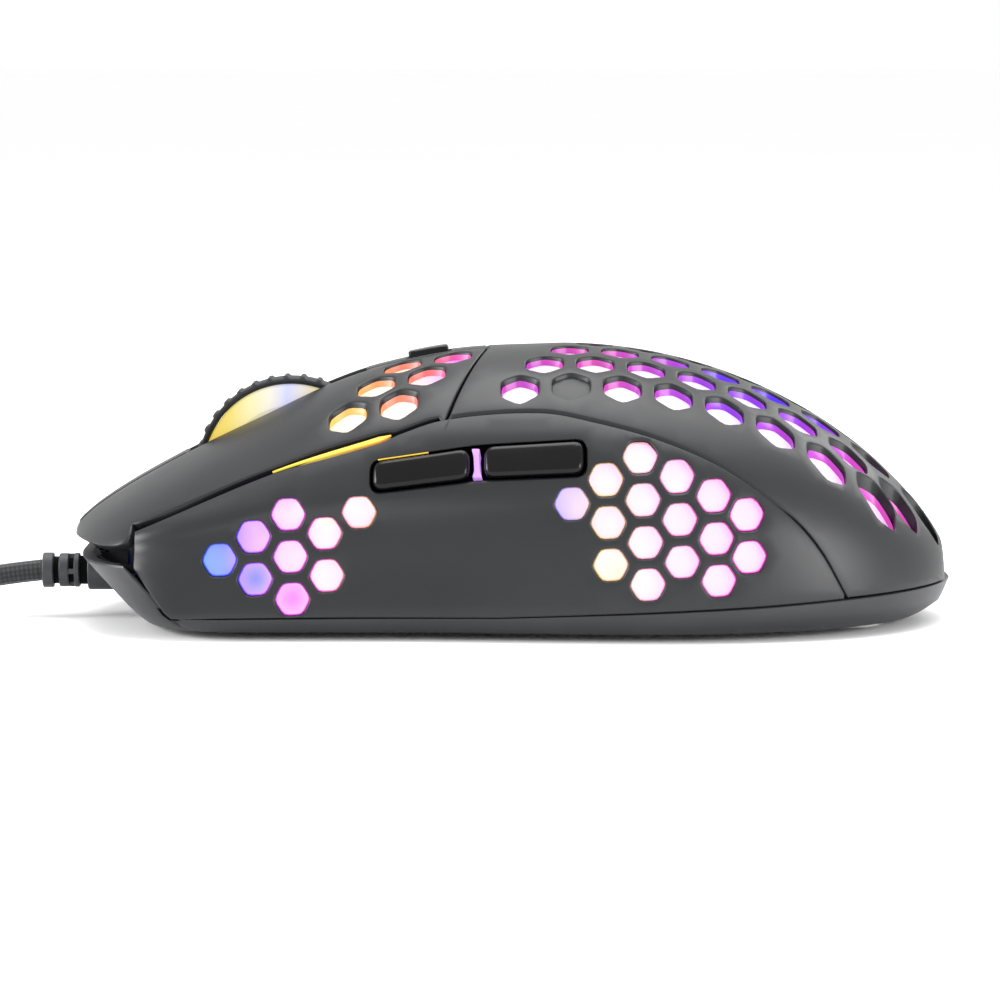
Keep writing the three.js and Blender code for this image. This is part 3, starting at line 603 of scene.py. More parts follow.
def glow(name, stops, spots=(), strength=0.65):
    """Lit milky plastic. stops are (x in millimetres, colour); spots are (x, y, z, reach, colour)."""
    look = Look(name).set(Roughness=0.35, Emission_Strength=strength)
    low, high = stops[0][0], stops[-1][0]
    wander = look.math("MULTIPLY", look.noise(150, 2), GLOW_DRIFT / (high - low))
    position = look.math("ADD", look.along("X", low, high), wander)
    color = look.ramp(position, [((at - low) / (high - low), srgb(code)) for at, code in stops])
    for place in spots:
        color = look.spot(color, *place)
    look.link(color, look.shader.inputs["Emission Color"])
    dimmed = look.add("ShaderNodeHueSaturation")
    dimmed.inputs["Value"].default_value = 0.4
    look.link(color, dimmed.inputs["Color"])
    look.link(dimmed.outputs["Color"], look.shader.inputs["Base Color"])
    return look.material


def metal(name, code, roughness, stretch):
    """Drawn metal with fine lines."""
    look = Look(name).set(Metallic=1.0)
    clouds = look.noise(stretch, 3)
    base = np.array(srgb(code))
    look.link(look.ramp(clouds, [(0.3, tuple(base * 0.8)), (0.7, tuple(base))]),
              look.shader.inputs["Base Color"])
    look.vary("Roughness", look.noise(stretch * 4, 2), roughness - 0.08, roughness + 0.08)
    look.bump(look.noise(stretch * 6, 2), 0.15, 0.00003)
    return look.material


def circuit(name):
    """Green solder mask with faint copper tracks under it."""
    look = Look(name).set(Roughness=0.35, Coat_Weight=0.4)
    bricks = look.add("ShaderNodeTexBrick")
    look.fill(bricks, {"Scale": 260, "Mortar Size": 0.03, "Color1": (*srgb("#12351f"), 1),
                       "Color2": (*srgb("#153d25"), 1), "Mortar": (*srgb("#2f6b3d"), 1)})
    look.link(look.place, bricks.inputs["Vector"])
    look.link(bricks.outputs["Color"], look.shader.inputs["Base Color"])
    look.bump(bricks.outputs["Fac"], 0.2, 0.00003)
    return look.material


def braid(name):
    """Woven cable jacket: two sets of strands that cross, drawn along the cord's own length."""
    look = Look(name).set(Roughness=0.78, Sheen_Weight=0.25, Sheen_Roughness=0.5)
    uv = look.add("ShaderNodeSeparateXYZ")
    look.link(look.add("ShaderNodeTexCoord").outputs["UV"], uv.inputs[0])
    length, turn = uv.outputs["X"], uv.outputs["Y"]
    waves = []
    for sense in (1, -1):
        phase = look.math("ADD", look.math("MULTIPLY", length, 5.0),
                          look.math("MULTIPLY", turn, sense * 2 * math.pi * 6))
        waves.append(look.math("SINE", phase, 0.0))
    weave = look.math("MULTIPLY", waves[0], waves[1])
    height = look.math("ADD", look.math("MULTIPLY", weave, 0.5), 0.5)
    # Colour follows the weave's height: darker in the low points between strands and lighter on the crowns,
    # painted shade and highlight.
    look.link(look.ramp(height, [(0.1, srgb("#0b0c0d")), (0.6, srgb("#191a1d")), (1.0, srgb("#2e3034"))]),
              look.shader.inputs["Base Color"])
    look.bump(height, 0.7, 0.00015)
    return look.material


COVER = moulded("cover_plastic", "#191a1c", "#1c1d1f", 0.4, grain=7000, strength=0.3, specular=0.38)
# The base's plastic is the covers' plastic made lighter: painted light bounced up from the floor.
BASE_WITH_PAINTED_BOUNCE = moulded("base_plastic_painted_bounce", "#232427", "#27282b", 0.42, grain=7000, strength=0.3, specular=0.4)
# Near-black: the real colour of the thumb slot's frame plate, and painted shade in the seams, the nose recess
# and the strain relief's grooves.
BLACK_AND_PAINTED_SHADE = moulded("deep_black_and_painted_shade", "#020203", "#030304", 0.8, specular=0.08)
GLOSS = moulded("thumb_gloss", "#050506", "#080809", 0.2, grain=900, strength=0.05, specular=0.22)
RUBBER = moulded("wheel_rubber", "#1b1c1e", "#232427", 0.6, grain=1800, strength=0.5, specular=0.35)
SLEEVE = moulded("cable_sleeve", "#2a2b2e", "#303135", 0.5, grain=5000)
DARK_PART = moulded("dark_part", "#1b1c1e", "#222326", 0.4)
WHITE_PART = moulded("white_part", "#cfcfc9", "#e2e2dd", 0.4)
FOOT_PLASTIC = moulded("foot_plastic", "#dcdcd6", "#ecece7", 0.35, grain=700, strength=0.1)
STEEL = metal("steel", "#8d9096", 0.32, 2500)
BOARD = circuit("circuit_board")
JACKET = braid("braided_jacket")
CLEAR = Look("clear_lens").set(Roughness=0.05, Transmission_Weight=0.9, IOR=1.5)
CLEAR.link(CLEAR.ramp(CLEAR.noise(200), [(0, srgb("#d8e2ee")), (1, srgb("#eef3f8"))]),
           CLEAR.shader.inputs["Base Color"])
CLEAR = CLEAR.material

TOP_WALLS = [(-26, "#eed468"), (-20, "#f0b060"), (-16, "#f08c64"), (-11, "#ec6c6c"), (-6, "#d848a8"),
             (2, "#b838b8"), (12, "#c840a8"), (20, "#b83cc8"), (30, "#8c34e0"),
             (40, "#b83cc8"), (52, "#d848b8")]
TOP_FLOORS = [(-26, "#fdf6dc"), (-19, "#fdecd8"), (-13, "#fbe2dc"), (-6, "#e86cf0"), (0, "#eadcfa"),
              (12, "#f6e6f0"), (24, "#f2e2f8"), (34, "#e8e0fc"), (44, "#f4d8fa"), (52, "#f2c8f6")]
SIDE_WALLS = [(-42, "#2f66f0"), (-36, "#5548f2"), (-33, "#c050f0"), (-25, "#f050c8"), (-18, "#f8b070"),
              (7, "#a090f0"), (12, "#e8c060"), (20, "#f0a0c8"), (28, "#f060c8"), (34, "#f040c8")]
SIDE_FLOORS = [(-42, "#7fa5f2"), (-38, "#8a9cf2"), (-35.5, "#cf9df2"), (-30, "#f2caee"), (-25, "#f8e0ea"),
               (-19, "#f2dcf0"), (7, "#cdb8fa"), (12, "#f3def6"), (18, "#f6dcf4"),
               (26, "#f4d2f4"), (34, "#f3cbf2")]
SIDE_SPOTS = [(13.5, None, 9.5, 6.0, "#f6efd4"), (-25, None, 16.5, 2.5, "#f8f0d8"),
              (-34.7, None, 8.3, 3.2, "#8a8cf6"), (-29.7, None, 5.7, 3.6, "#e088f2")]
TOP_SPOTS = [(38, 0, 30, 17, "#3c22f4"), (30, 0, 36, 9, "#4a2cf0")]
TOP_WALL = glow("top_glow_wall", TOP_WALLS, TOP_SPOTS)
TOP_FLOOR = glow("top_glow_floor", TOP_FLOORS)
SIDE_WALL = glow("side_glow_wall", SIDE_WALLS)
SIDE_FLOOR = glow("side_glow_floor", SIDE_FLOORS, SIDE_SPOTS)
LILAC = glow("separator_glow", [(-8, "#c890f4"), (-2, "#d0a0fa")])
YELLOW = glow("seam_glow", [(-33, "#e0c83c"), (-25, "#f0d850"), (-16, "#e8c040")], strength=0.9)
WHEEL_GLOW = glow("wheel_glow", [(-43, "#ecca48"), (-39, "#f0d868"), (-36, "#f2e8aa"), (-33, "#eee8d8"),
                                 (-30.5, "#ccd0f6"), (-28.5, "#e0dadc"), (-26, "#ecdda0")])


# ---------------------------------------------------------------- camera
def make_camera():
    """The thumb side, a little from above, from about two thirds of a metre."""
    distance, elevation, frame_width = 0.65, math.radians(5.5), 0.13975
    target = Vector((-0.0019, 0, 0.0163))
    data = bpy.data.cameras.new("camera")
    data.sensor_width = 36
    data.lens = 36 * distance / frame_width
    data.clip_start, data.clip_end = 0.01, 20
    camera = bpy.data.objects.new("camera", data)
    bpy.context.scene.collection.objects.link(camera)
    camera.location = target + distance * Vector((0, -math.cos(elevation), math.sin(elevation)))
    camera.rotation_mode = "QUATERNION"
    camera.rotation_quaternion = (target - camera.location).to_track_quat("-Z", "Y")
    bpy.context.scene.camera = camera


make_camera()

# ---------------------------------------------------------------- cable
CORD_ROUTE = [
    (-65.9, 0, 6.5), (-69, 0, 6.15), (-72.5, 0, 5.65), (-76.5, 0, 4.9), (-80, -0.6, 4.0),
    (-85, -2.7, 2.8), (-90, -6.0, 2.0), (-95, -9.9, 1.7), (-100, -14.0, 1.65),
    (-105, -17.9, 1.65), (-110, -20.9, 1.65), (-114, -22.6, 1.65), (-117.2, -23.15, 1.65),
]
TAIL_ROUTE = [(-130, 26.6, 1.65), (-126, 26.7, 1.75), (-121, 26.7, 2.4),
              (-116, 26.7, 3.5), (-112.5, 26.7, 4.0)]
COIL_X, COIL_OUTER = -130.0, 23.15
TURNS, LAYERS = 15, 4
TURN_PITCH, LAYER_RISE = 3.13, 3.05


def coil_points():
    """Turns that wind in and out in four layers, then half a turn down the outside."""
    per_layer = TURNS / LAYERS
    span = per_layer * TURN_PITCH
    points = []
    for k in range(int(TURNS * 36) + 1):
        turn = k / 36
        layer, share = divmod(turn / per_layer, 1)
        inward = share if int(layer) % 2 == 0 else 1 - share
        if layer >= LAYERS:
            layer, share, inward = LAYERS - 1, 1.0, 0.0
        lift = layer
        near = per_layer * min(share, 1 - share)
        if near < 0.25 and not (layer == 0 and share < 0.5) and not (layer == LAYERS - 1 and share > 0.5):
            bend = 0.5 - near * 2
            lift = layer + (bend if share > 0.5 else -bend)
        radius = COIL_OUTER - span * inward
        points.append((turn, radius, CORD_LOW_Z + LAYER_RISE * lift))
    for k in range(1, 19):
        turn = k / 36
        radius = COIL_OUTER + 3.38 * smoothstep(turn / 0.25)
        points.append((TURNS + turn, radius, 10.8 - 9.15 * smoothstep((turn - 0.05) / 0.45)))
    out = []
    for turn, radius, z in points:
        angle = -math.pi / 2 - 2 * math.pi * turn
        out.append((COIL_X + radius * math.cos(angle), radius * math.sin(angle), float(z)))
    return out


def smooth_path(points, step):
    """Evenly spaced points on a smooth curve through the given ones."""
    p = np.array(points, float)
    ends = np.concatenate([[2 * p[0] - p[1]], p, [2 * p[-1] - p[-2]]])
    out = []
    for i in range(len(p) - 1):
        a, b, c, d = ends[i:i + 4]
        for t in np.linspace(0, 1, 12, endpoint=False):
            out.append(0.5 * (2 * b + (c - a) * t + (2 * a - 5 * b + 4 * c - d) * t ** 2
                              + (3 * b - a - 3 * c + d) * t ** 3))
    dense = np.array(out + [p[-1]])
    s = distances(dense)
    return places(np.linspace(0, s[-1], int(s[-1] / step) + 1), s, dense)


def tube_mesh(path, radius, sides, step):
    """A round tube along the path, with length and turn as its UV."""
    tangent = unit(np.gradient(path, axis=0))
    up = np.array([0.0, 0.0, 1.0])
    side = unit(np.cross(tangent, up))
    lift = np.cross(side, tangent)
    across, rise = circle(sides).T[:, None, :, None]
    ring = path[:, None] + radius * (across * side[:, None] + rise * lift[:, None])
    vertices = ring.reshape(-1, 3)
    faces, uvs = [], []
    for i in range(len(path) - 1):
        for k in range(sides):
            m = (k + 1) % sides
            faces.append((i * sides + k, i * sides + m, (i + 1) * sides + m, (i + 1) * sides + k))
            u0, u1, v0, v1 = i * step, (i + 1) * step, k / sides, (k + 1) / sides
            uvs += [(u0, v0), (u0, v1), (u1, v1), (u1, v0)]
    last = (len(path) - 1) * sides
    faces += [tuple(range(sides))[::-1], tuple(range(last, last + sides))]
    uvs += [(0, 0)] * sides + [(0, 0)] * sides
    return vertices, faces, uvs


def make_cable():
    """The cord: out of the nose, round the coil and on to the plug. Also gives its path."""
    entry = [(-121.5, -23.15, 1.65), (-126, -23.15, 1.65)]
    route = CORD_ROUTE + entry + coil_points() + TAIL_ROUTE[1:]
    path = smooth_path(route, CORD_STEP)
    vertices, faces, uvs = tube_mesh(path, CORD_RADIUS, 16, CORD_STEP)
    cable = new_object("braided_cable", vertices, faces, [JACKET], uvs=uvs)
    return settle(cable, "housing", ["cable_run", "cable_coil", "cable_tail"]), path


cable, cable_path = make_cable()


def make_strain_relief():
    """A sleeve in the nose wall, then rings with dark grooves and a slotted neck between them."""
    sleeve = [(0.4, 2.6), (2.75, 2.6), (2.75, -2.9), (2.6, -3.05), (1.9, -3.05), (0.4, -3.05)]
    collar = [(1.0, -4.2), (2.2, -4.2), (2.4, -4.35), (2.4, -4.85), (2.2, -5.0), (1.0, -5.0)]
    middle = [(1.0, -5.7), (2.2, -5.7), (2.35, -5.85), (2.35, -6.95), (2.2, -7.1), (1.0, -7.1)]
    end = [(1.0, -7.85), (2.3, -7.85), (2.45, -8.0), (2.45, -9.25), (2.3, -9.4), (1.0, -9.4)]
    core = [(0.6, -2.9), (2.0, -2.9), (2.0, -4.3), (1.7, -4.9),
            (1.7, -5.8), (1.9, -7.0), (1.9, -9.2), (0.6, -9.2)]
    centre = (-56.4, 0, CABLE_Z)
    light = [lathe(outline, "x", centre, 48) for outline in (sleeve, collar, middle, end)]
    for turn in range(4):
        angle = turn * math.pi / 2
        light.append(bridge_bar((-61.75, 1.95 * math.cos(angle), CABLE_Z + 1.95 * math.sin(angle))))
    # The core is near-black so the grooves and the neck's slots read dark: painted shade.
    dark = lathe(core, "x", centre, 48)
    slots = [0] * sum(len(faces) for _, faces in light) + [1] * len(dark[1])
    return finish_piece("strain_relief_sleeve", light + [dark], [SLEEVE, BLACK_AND_PAINTED_SHADE], "housing",
                        ["strain_relief"], slots)


def bridge_bar(centre):
    """A small bar between two rings of the strain relief."""
    half = np.array([0.5, 0.34, 0.34])
    corners = np.array([(x, y, z) for x in (-1, 1) for y in (-1, 1) for z in (-1, 1)]) * half
    faces = [(0, 1, 3, 2), (4, 6, 7, 5), (0, 4, 5, 1), (2, 3, 7, 6), (0, 2, 6, 4), (1, 5, 7, 3)]
    return corners + np.asarray(centre), faces


def rounded_block(low, high, bevel, segments=3):
    """A block with round edges: (vertices, faces)."""
    mesh = bmesh.new()
    bmesh.ops.create_cube(mesh, size=1.0)
    low, high = np.asarray(low, float), np.asarray(high, float)
    for vertex in mesh.verts:
        vertex.co = Vector(low + (np.array(vertex.co) + 0.5) * (high - low))
    bmesh.ops.bevel(mesh, geom=mesh.edges[:], offset=bevel, segments=segments, profile=0.5,
                    affect="EDGES")
    mesh.verts.index_update()
    vertices = np.array([tuple(v.co) for v in mesh.verts])
    faces = [tuple(v.index for v in f.verts) for f in mesh.faces]
    mesh.free()
    return vertices, faces


def make_plug():
    """The moulded grip of the USB plug: tapered sleeve, ribbed throat and a rounded body."""
    start, y, z = -112.2, 26.7, 4.0
    sleeve = [(0.4, 0), (2.0, 0), (2.2, 0.2)]
    for k in range(4):
        at = 1.2 + 1.6 * k
        sleeve += [(2.3 + 0.12 * k, at), (1.95 + 0.12 * k, at + 0.15), (1.95 + 0.12 * k, at + 0.6),
                   (2.35 + 0.12 * k, at + 0.75)]
    sleeve += [(3.1, 8.1), (0.4, 8.1)]
    parts = [lathe(sleeve, "x", (start, y, z), 32)]
    parts.append(rounded_block((start + 7.8, y - 6.6, z - 3.7), (start + 24, y + 6.6, z + 3.7), 1.3, 5))
    for k in range(4):
        x = start + 11 + 2.2 * k
        for side in (-1, 1):
            flank = y + side * 6.3
            parts.append(rounded_block((x, flank - 0.3, z - 2.2), (x + 1.0, flank + 0.3, z + 2.2), 0.25, 2))
    return finish_piece("usb_plug_grip", parts, [DARK_PART], "housing", ["usb_plug_body"])


relief = make_strain_relief()
plug = make_plug()


# ---------------------------------------------------------------- studio
def make_floor():
    """A plain pale floor far wider than the view."""
    mesh = bpy.data.meshes.new("floor")
    reach = 40.0
    mesh.from_pydata([(-reach, -reach, 0), (reach, -reach, 0), (reach, reach, 0), (-reach, reach, 0)],
                     [], [(0, 1, 2, 3)])
    look = Look("floor_paper").set(Roughness=0.85, Specular_IOR_Level=0.2)
    look.link(look.ramp(look.noise(3), [(0, srgb("#fdfdfd")), (1, srgb("#ffffff"))]),
              look.shader.inputs["Base Color"])
    mesh.materials.append(look.material)
    floor = bpy.data.objects.new("floor", mesh)
    bpy.context.scene.collection.objects.link(floor)


def make_light(name, place, size, watts):
    """A square white soft box aimed at the mouse."""
    data = bpy.data.lights.new(name, "AREA")
    data.size, data.energy = size, watts
    lamp = bpy.data.objects.new(name, data)
    lamp.location = place
    aim = Vector((0, 0, 0.02)) - lamp.location
    lamp.rotation_mode = "QUATERNION"
    lamp.rotation_quaternion = aim.to_track_quat("-Z", "Y")
    bpy.context.scene.collection.objects.link(lamp)


def make_studio():
    """White all round, with four soft boxes."""
    make_floor()
    world = bpy.data.worlds.new("studio")
    world.use_nodes = True
    background = world.node_tree.nodes["Background"]
    background.inputs["Color"].default_value = (1, 1, 1, 1)
    background.inputs["Strength"].default_value = 1.0
    bpy.context.scene.world = world
    bpy.context.scene.view_settings.view_transform = "Standard"
    make_light("overhead", (0.05, 0.12, 0.75), 0.6, 5.0)
    make_light("left", (-0.9, -0.15, 0.3), 0.45, 10.0)
    make_light("right", (0.75, -0.5, 0.22), 0.45, 6.0)
    make_light("back_right", (0.5, 0.55, 0.5), 0.4, 2.0)


make_studio()


# ---------------------------------------------------------------- outlines of the covers
PALM_PITCH = 6.93
SIDE_PITCH, SIDE_TILT = 5.58, math.radians(3.2)
PALM_ACROSS, SIDE_ACROSS = 5.2, 4.4
# Rows of openings in the back as (y, first x, count); the outer ones are on both sides.
PALM_ROWS = [(0, 11.2, 7), (6, 7.7, 8), (-6, 7.7, 8), (12, 4.2, 8), (-12, 4.2, 8),
             (18, 0.8, 8), (-18, 0.8, 8)]
BUTTON_ROWS = [(6.8, -15.3), (12.3, -18.8), (17.8, -22.5)]
# Columns of openings in a flank as (lowest x, lowest z, count).
SIDE_COLUMNS = [(7.7, 18.6, 1), (12.85, 10.6, 3), (17.8, 8.0, 4), (22.4, 11.0, 3), (27.3, 8.45, 3),
                (31.4, 11.5, 2),
                (-39.5, 10.8, 1), (-34.7, 8.3, 2), (-29.7, 5.7, 3), (-25.1, 8.8, 2), (-20.8, 17.2, 1)]
SWITCH_PRESS = (-41.0, 13.9)
DPI_X, DPI_HALF_WIDTH, DPI_PROUD = (-14.6, -9.0), 2.1, 0.8
NOSE_BRIDGE_X, NOSE_UNDER = (-60.9, -45.4), 12.2
THUMB_SLOT = (-18.9, 9.3)
BAR_CORNER = 1.3
SLOT_TOP = [(-19, 23.6), (-5, 25.7), (9.5, 26.6)]
SLOT_BOTTOM = [(-19, 20.1), (-5, 21.9), (9.5, 22.6)]
SPLIT_GAP, SEAM_GAP = 0.18, 0.18
SEAM_END_X = 44.9            # the side seam runs down to here
TAIL_ENDS_X = (45.3, 59.6)   # the back cover's lower edge runs between these round the tail
SHOULDER_Y = 24.6            # where the split line meets the side seam
BUTTON_FRONT_X = -51.6       # the seam beside a main button starts here
NOSE_REACH = 9.0             # how far the lip runs ahead of that
RIM_TOP = 12    # openings stay where the back is higher than this
ROW_LEAN = 1.6  # the outer row runs this much nearer the middle at the tail


def dome_height(x, y):
    """Height of the dome over a point of the plan, without the thumb hollow."""
    share = np.clip(np.abs(y) / half_width(x), 0, 1)
    return FOOT_Z + (crest(x) - FOOT_Z) * (1 - share ** 2) ** (1 / SECTION_POWER)


def belt_gap(x):
    """Half the gap between the side panels and the base: a hairline, wider in front."""
    return 0.04 + 0.08 * smoothstep((-44 - np.asarray(x, float)) / 3)


def light_gap(x, side):
    """How much wider the left seam is where its light shows, from 0 to 1."""
    if side > 0:
        return 0 * np.asarray(x, float)
    return smoothstep((x + 33) / 9) * smoothstep((-16.2 - x) / 1.2)


def seam_run(start, stop, lift, side):
    """A stretch of the side seam on the sheet, moved up by lift(x)."""
    x = np.linspace(start, stop, 70)
    return sheet_from_side(x, side_seam(x) + lift(x), side)


def belt_run(start, stop, lift, side):
    """A stretch of the belt line on the sheet, moved up."""
    x = np.linspace(start, stop, 60)
    return sheet_from_side(x, belt(x) + lift, side)


def palm_outline(margin=0.0):
    """The back cover: the split line, down both seams and round the tail above the belt."""
    y = np.linspace(-SHOULDER_Y, SHOULDER_Y, 90)
    split = sheet_from_plan(split_x(y) + SPLIT_GAP + margin, y)
    seam_start = float(split_x(SHOULDER_Y)) + SPLIT_GAP + margin

    def lift(x):
        return SEAM_GAP + margin + 0 * x

    right = seam_run(seam_start, SEAM_END_X, lift, 1)
    tail_right = belt_run(*TAIL_ENDS_X, SEAM_GAP + margin, 1)
    tail_left = belt_run(*TAIL_ENDS_X[::-1], SEAM_GAP + margin, -1)
    left = seam_run(SEAM_END_X, seam_start, lift, -1)
    low = split[(np.abs(y) < 24.0)]
    return np.concatenate([low, right[2:], tail_right, tail_left, left[:-2]])


def button_outline(side, margin=0.0):
    """A main button: from the split line forward, over the rounded nose lip and back along the seam."""
    inner = BUTTON_INNER_Y + margin
    slot = SLOT_INNER_Y + margin
    y = np.linspace(inner, 22.7, 40)
    split = sheet_from_plan(split_x(y) - SPLIT_GAP - margin, y)

    def lift(x):
        return 0.2 + margin + 0.5 * (HINGE_X - x) / 50 + 0.42 * light_gap(x, side)

    seam = seam_run(float(split_x(24.4)) - SPLIT_GAP - margin, BUTTON_FRONT_X, lift, 1)
    nose_x = BUTTON_FRONT_X - 0.1 - NOSE_REACH * np.sin(np.linspace(0, np.pi / 2, 90))
    under = NOSE_UNDER + margin + 2.4 * np.exp((nose_x + 51.4) / 0.9)
    low = sheet_from_side(nose_x, under, 1)
    slot_x = nose_x[-1] + (BRIDGE[0] + GAP - nose_x[-1]) * (1 - np.cos(np.linspace(0, np.pi / 2, 120)))
    slot_run = sheet_from_plan(slot_x, np.full(120, slot))
    slot_run = slot_run[slot_run[:, 0] > low[-1, 0] + 0.1]
    inner_run = sheet_from_plan(np.linspace(BRIDGE[0] + GAP, -3.9, 12), np.full(12, inner))
    loop = np.concatenate([split, seam, low, slot_run, inner_run])
    loop[:, 1] *= side
    return loop


def side_outline(side, margin=0.0, front=PANEL_FRONT):
    """A flank: back along the seam and forward along the belt."""
    back = 44.4 - 1.7 * margin
    x = np.linspace(front, back, 110)
    top = sheet_from_side(x, side_seam(x) - SEAM_GAP - margin - 0.3 * light_gap(x, side), side)
    low = sheet_from_side(x[::-1], belt(x[::-1]) + belt_gap(x[::-1]) + margin, side)
    return np.concatenate([top, low])


def bar_outline(x0, x1, grow):
    """A bar along the thumb slot, with rounded ends."""
    a, b = x0 - grow, x1 + grow
    x = np.linspace(a, b, 30)
    top = np.stack([x, along(SLOT_TOP, x) + grow], -1)
    low = np.stack([x[::-1], along(SLOT_BOTTOM, x[::-1]) - grow], -1)
    loop = rounded_ends(np.concatenate([top, low]), BAR_CORNER + 0.4 * grow)
    return sheet_from_side(loop[:, 0], loop[:, 1], -1)


def rounded_ends(loop, radius):
    """The loop with each sharp corner replaced by an arc."""
    ahead = np.roll(loop, -1, axis=0) - loop
    behind = loop - np.roll(loop, 1, axis=0)
    turn = np.abs(turns_between(behind, ahead))
    corners = loop[turn > 0.6]
    far = np.min(np.linalg.norm(loop[:, None] - corners[None], axis=2), axis=1) > radius * 1.05
    out = []
    for i, point in enumerate(loop):
        if far[i]:
            out.append(point)
        elif turn[i] > 0.6:
            to_last = -behind[i] / np.linalg.norm(behind[i])
            to_next = ahead[i] / np.linalg.norm(ahead[i])
            for t in np.linspace(0, 1, 6):
                out.append(point + radius * ((1 - t) ** 2 * to_last + t * t * to_next))
    return np.array(out)


def palm_cells():
    """Centres of the openings in the back cover."""
    for y, first, count in PALM_ROWS:
        for i in range(count):
            x = first + i * PALM_PITCH
            y_here = y - np.sign(y) * ROW_LEAN * float(smoothstep((x - 43) / 6)) * (abs(y) > 15)
            if dome_height(x + 3, y) > RIM_TOP and not (abs(y) == 18 and i == 1):
                yield x, y_here


def dimples():
    """Centres of the openings that are only shallow pockets, and how deep each one is."""
    for side in (-1, 1):
        yield 0.8 + PALM_PITCH, 18 * side, 0.55
        yield 7.7 + 7 * PALM_PITCH, 6 * side, 1.1


def button_cells(side):
    """Centres of the openings in a main button."""
    for y, first in BUTTON_ROWS:
        for i in range(2):
            yield first + i * PALM_PITCH, side * y


def side_cells():
    """Centres of the openings in a flank, column by column."""
    for first_x, first_z, count in SIDE_COLUMNS:
        for i in range(count):
            up = i * SIDE_PITCH
            yield first_x - up * math.sin(SIDE_TILT), first_z + up * math.cos(SIDE_TILT)


def top_hole(x, y, scale=1.0):
    """An opening of the back or a main button, on the sheet."""
    loop = hexagon((x, y), PALM_ACROSS * scale, math.pi / 2, 0.75 * scale)
    return sheet_from_plan(loop[:, 0], loop[:, 1])


def side_hole(x, z, side, scale=1.0):
    """An opening of a flank, on the sheet."""
    loop = hexagon((x, z), SIDE_ACROSS * scale, SIDE_TILT, 0.65 * scale)
    return sheet_from_side(loop[:, 0], loop[:, 1], side)


# ---------------------------------------------------------------- covers
def make_palm():
    """The back cover, with the floors of its shallow pockets."""
    holes = [top_hole(x, y) for x, y in palm_cells()]
    holes += [top_hole(x, y) for x, y, _ in dimples()]
    parts = [sheet_patch(palm_outline(), holes, rim=0.22, place=from_above)]
    for x, y, depth in dimples():
        parts.append(sheet_patch(top_hole(x, y, 1.04), top=depth, thickness=1.2, rim=0.05, spacing=1.2,
                                 place=from_above))
    finish_piece("palm_cover", parts, [COVER], "housing", ["palm_shell"])


def make_main_button(side, word):
    """A main button with the post that presses its switch."""
    holes = [top_hole(x, y) for x, y in button_cells(side)]
    patch = sheet_patch(button_outline(side), holes, rim=0.3, place=from_above_button)
    x, y = SWITCH_PRESS
    top = float(dome_height(x, y)) - 2.1
    post = rounded_block((x - 1.5, side * y - 2, 13.2), (x + 1.5, side * y + 2, top), 0.3)
    finish_piece(word + "_main_button_cover", [patch, post], [COVER], word + "_button",
                 [word + "_main_button"])


def make_side_cover(side, word):
    """A flank. The left one has the slot for the thumb buttons."""
    holes = [side_hole(x, z, side) for x, z in side_cells()]
    if side < 0:
        holes.append(bar_outline(*THUMB_SLOT, 0.4))
    patch = sheet_patch(side_outline(side), holes, rim=0.25, place=from_side)
    finish_piece(word + "_side_cover", [patch], [COVER], "housing", [word + "_side_panel"])


def strip_outline(x0, x1, half, corner=0.5):
    """A straight bar along the middle, with rounded corners."""
    loop = np.array([(x0, -half), (x1, -half), (x1, half), (x0, half)], float)
    loop = subdivided(rounded(loop, corner, 4), 0.8)
    return sheet_from_plan(loop[:, 0], loop[:, 1])


def nose_strip():
    """The strip ahead of the wheel, which rolls over the nose and down its front."""
    x = np.linspace(NOSE_BRIDGE_X[1], -59.9, 40)
    line = [(float(p), float(crest(p))) for p in x]
    turn = np.linspace(0.25, 1.0, 12)[:, None] * np.pi * 0.55
    start = np.array(line[-1])
    roll = start + 0.95 * np.column_stack([-np.sin(turn) + np.sin(turn[0]), np.cos(turn) - np.cos(turn[0])])
    line += [tuple(p) for p in roll[1:]]
    line.append((line[-1][0] + 0.35, NOSE_UNDER))
    line = np.array(line)
    s = distances(line)

    def over_the_nose(ab, depth):
        """Places of a flat strip, bent along the line."""
        way = unit(places(ab[:, 0] + 0.3, s, line) - places(ab[:, 0] - 0.3, s, line))
        normal = np.column_stack([way[:, 1], -way[:, 0]])
        place = places(ab[:, 0], s, line) - normal * np.reshape(depth, (-1, 1))
        return np.column_stack([place[:, 0], -ab[:, 1], place[:, 1]])

    half = SLOT_INNER_Y - GAP
    loop = subdivided(rounded([(0, -half), (s[-1], -half), (s[-1], half), (0, half)], 0.4), 0.6)
    return sheet_patch(loop, rim=0.3, spacing=1.0, place=over_the_nose, step=0.6)


def make_bridges():
    """The strips behind and ahead of the wheel and the button between them."""
    window = strip_outline(DPI_X[0] - GAP, DPI_X[1] + GAP, DPI_HALF_WIDTH + GAP)
    strip = sheet_patch(strip_outline(*BRIDGE, 2.9), [window])
    finish_piece("center_strip", [strip], [COVER], "housing", ["center_bridge"])
    finish_piece("nose_strip", [nose_strip()], [COVER], "housing", ["nose_bridge"])
    cap = sheet_patch(strip_outline(*DPI_X, DPI_HALF_WIDTH, 0.8), top=-DPI_PROUD, thickness=2.4, rim=0.4)
    finish_piece("dpi_cap", [cap], [GLOSS], "dpi", ["dpi_button"])


make_palm()
for side, word in ((-1, "left"), (1, "right")):
    make_main_button(side, word)
    make_side_cover(side, word)
make_bridges()


# ---------------------------------------------------------------- lit liners
CUP_BOTTOM = 3.2    # depth at which a cup meets the sheet under it
LINER_DEPTH = 3.25


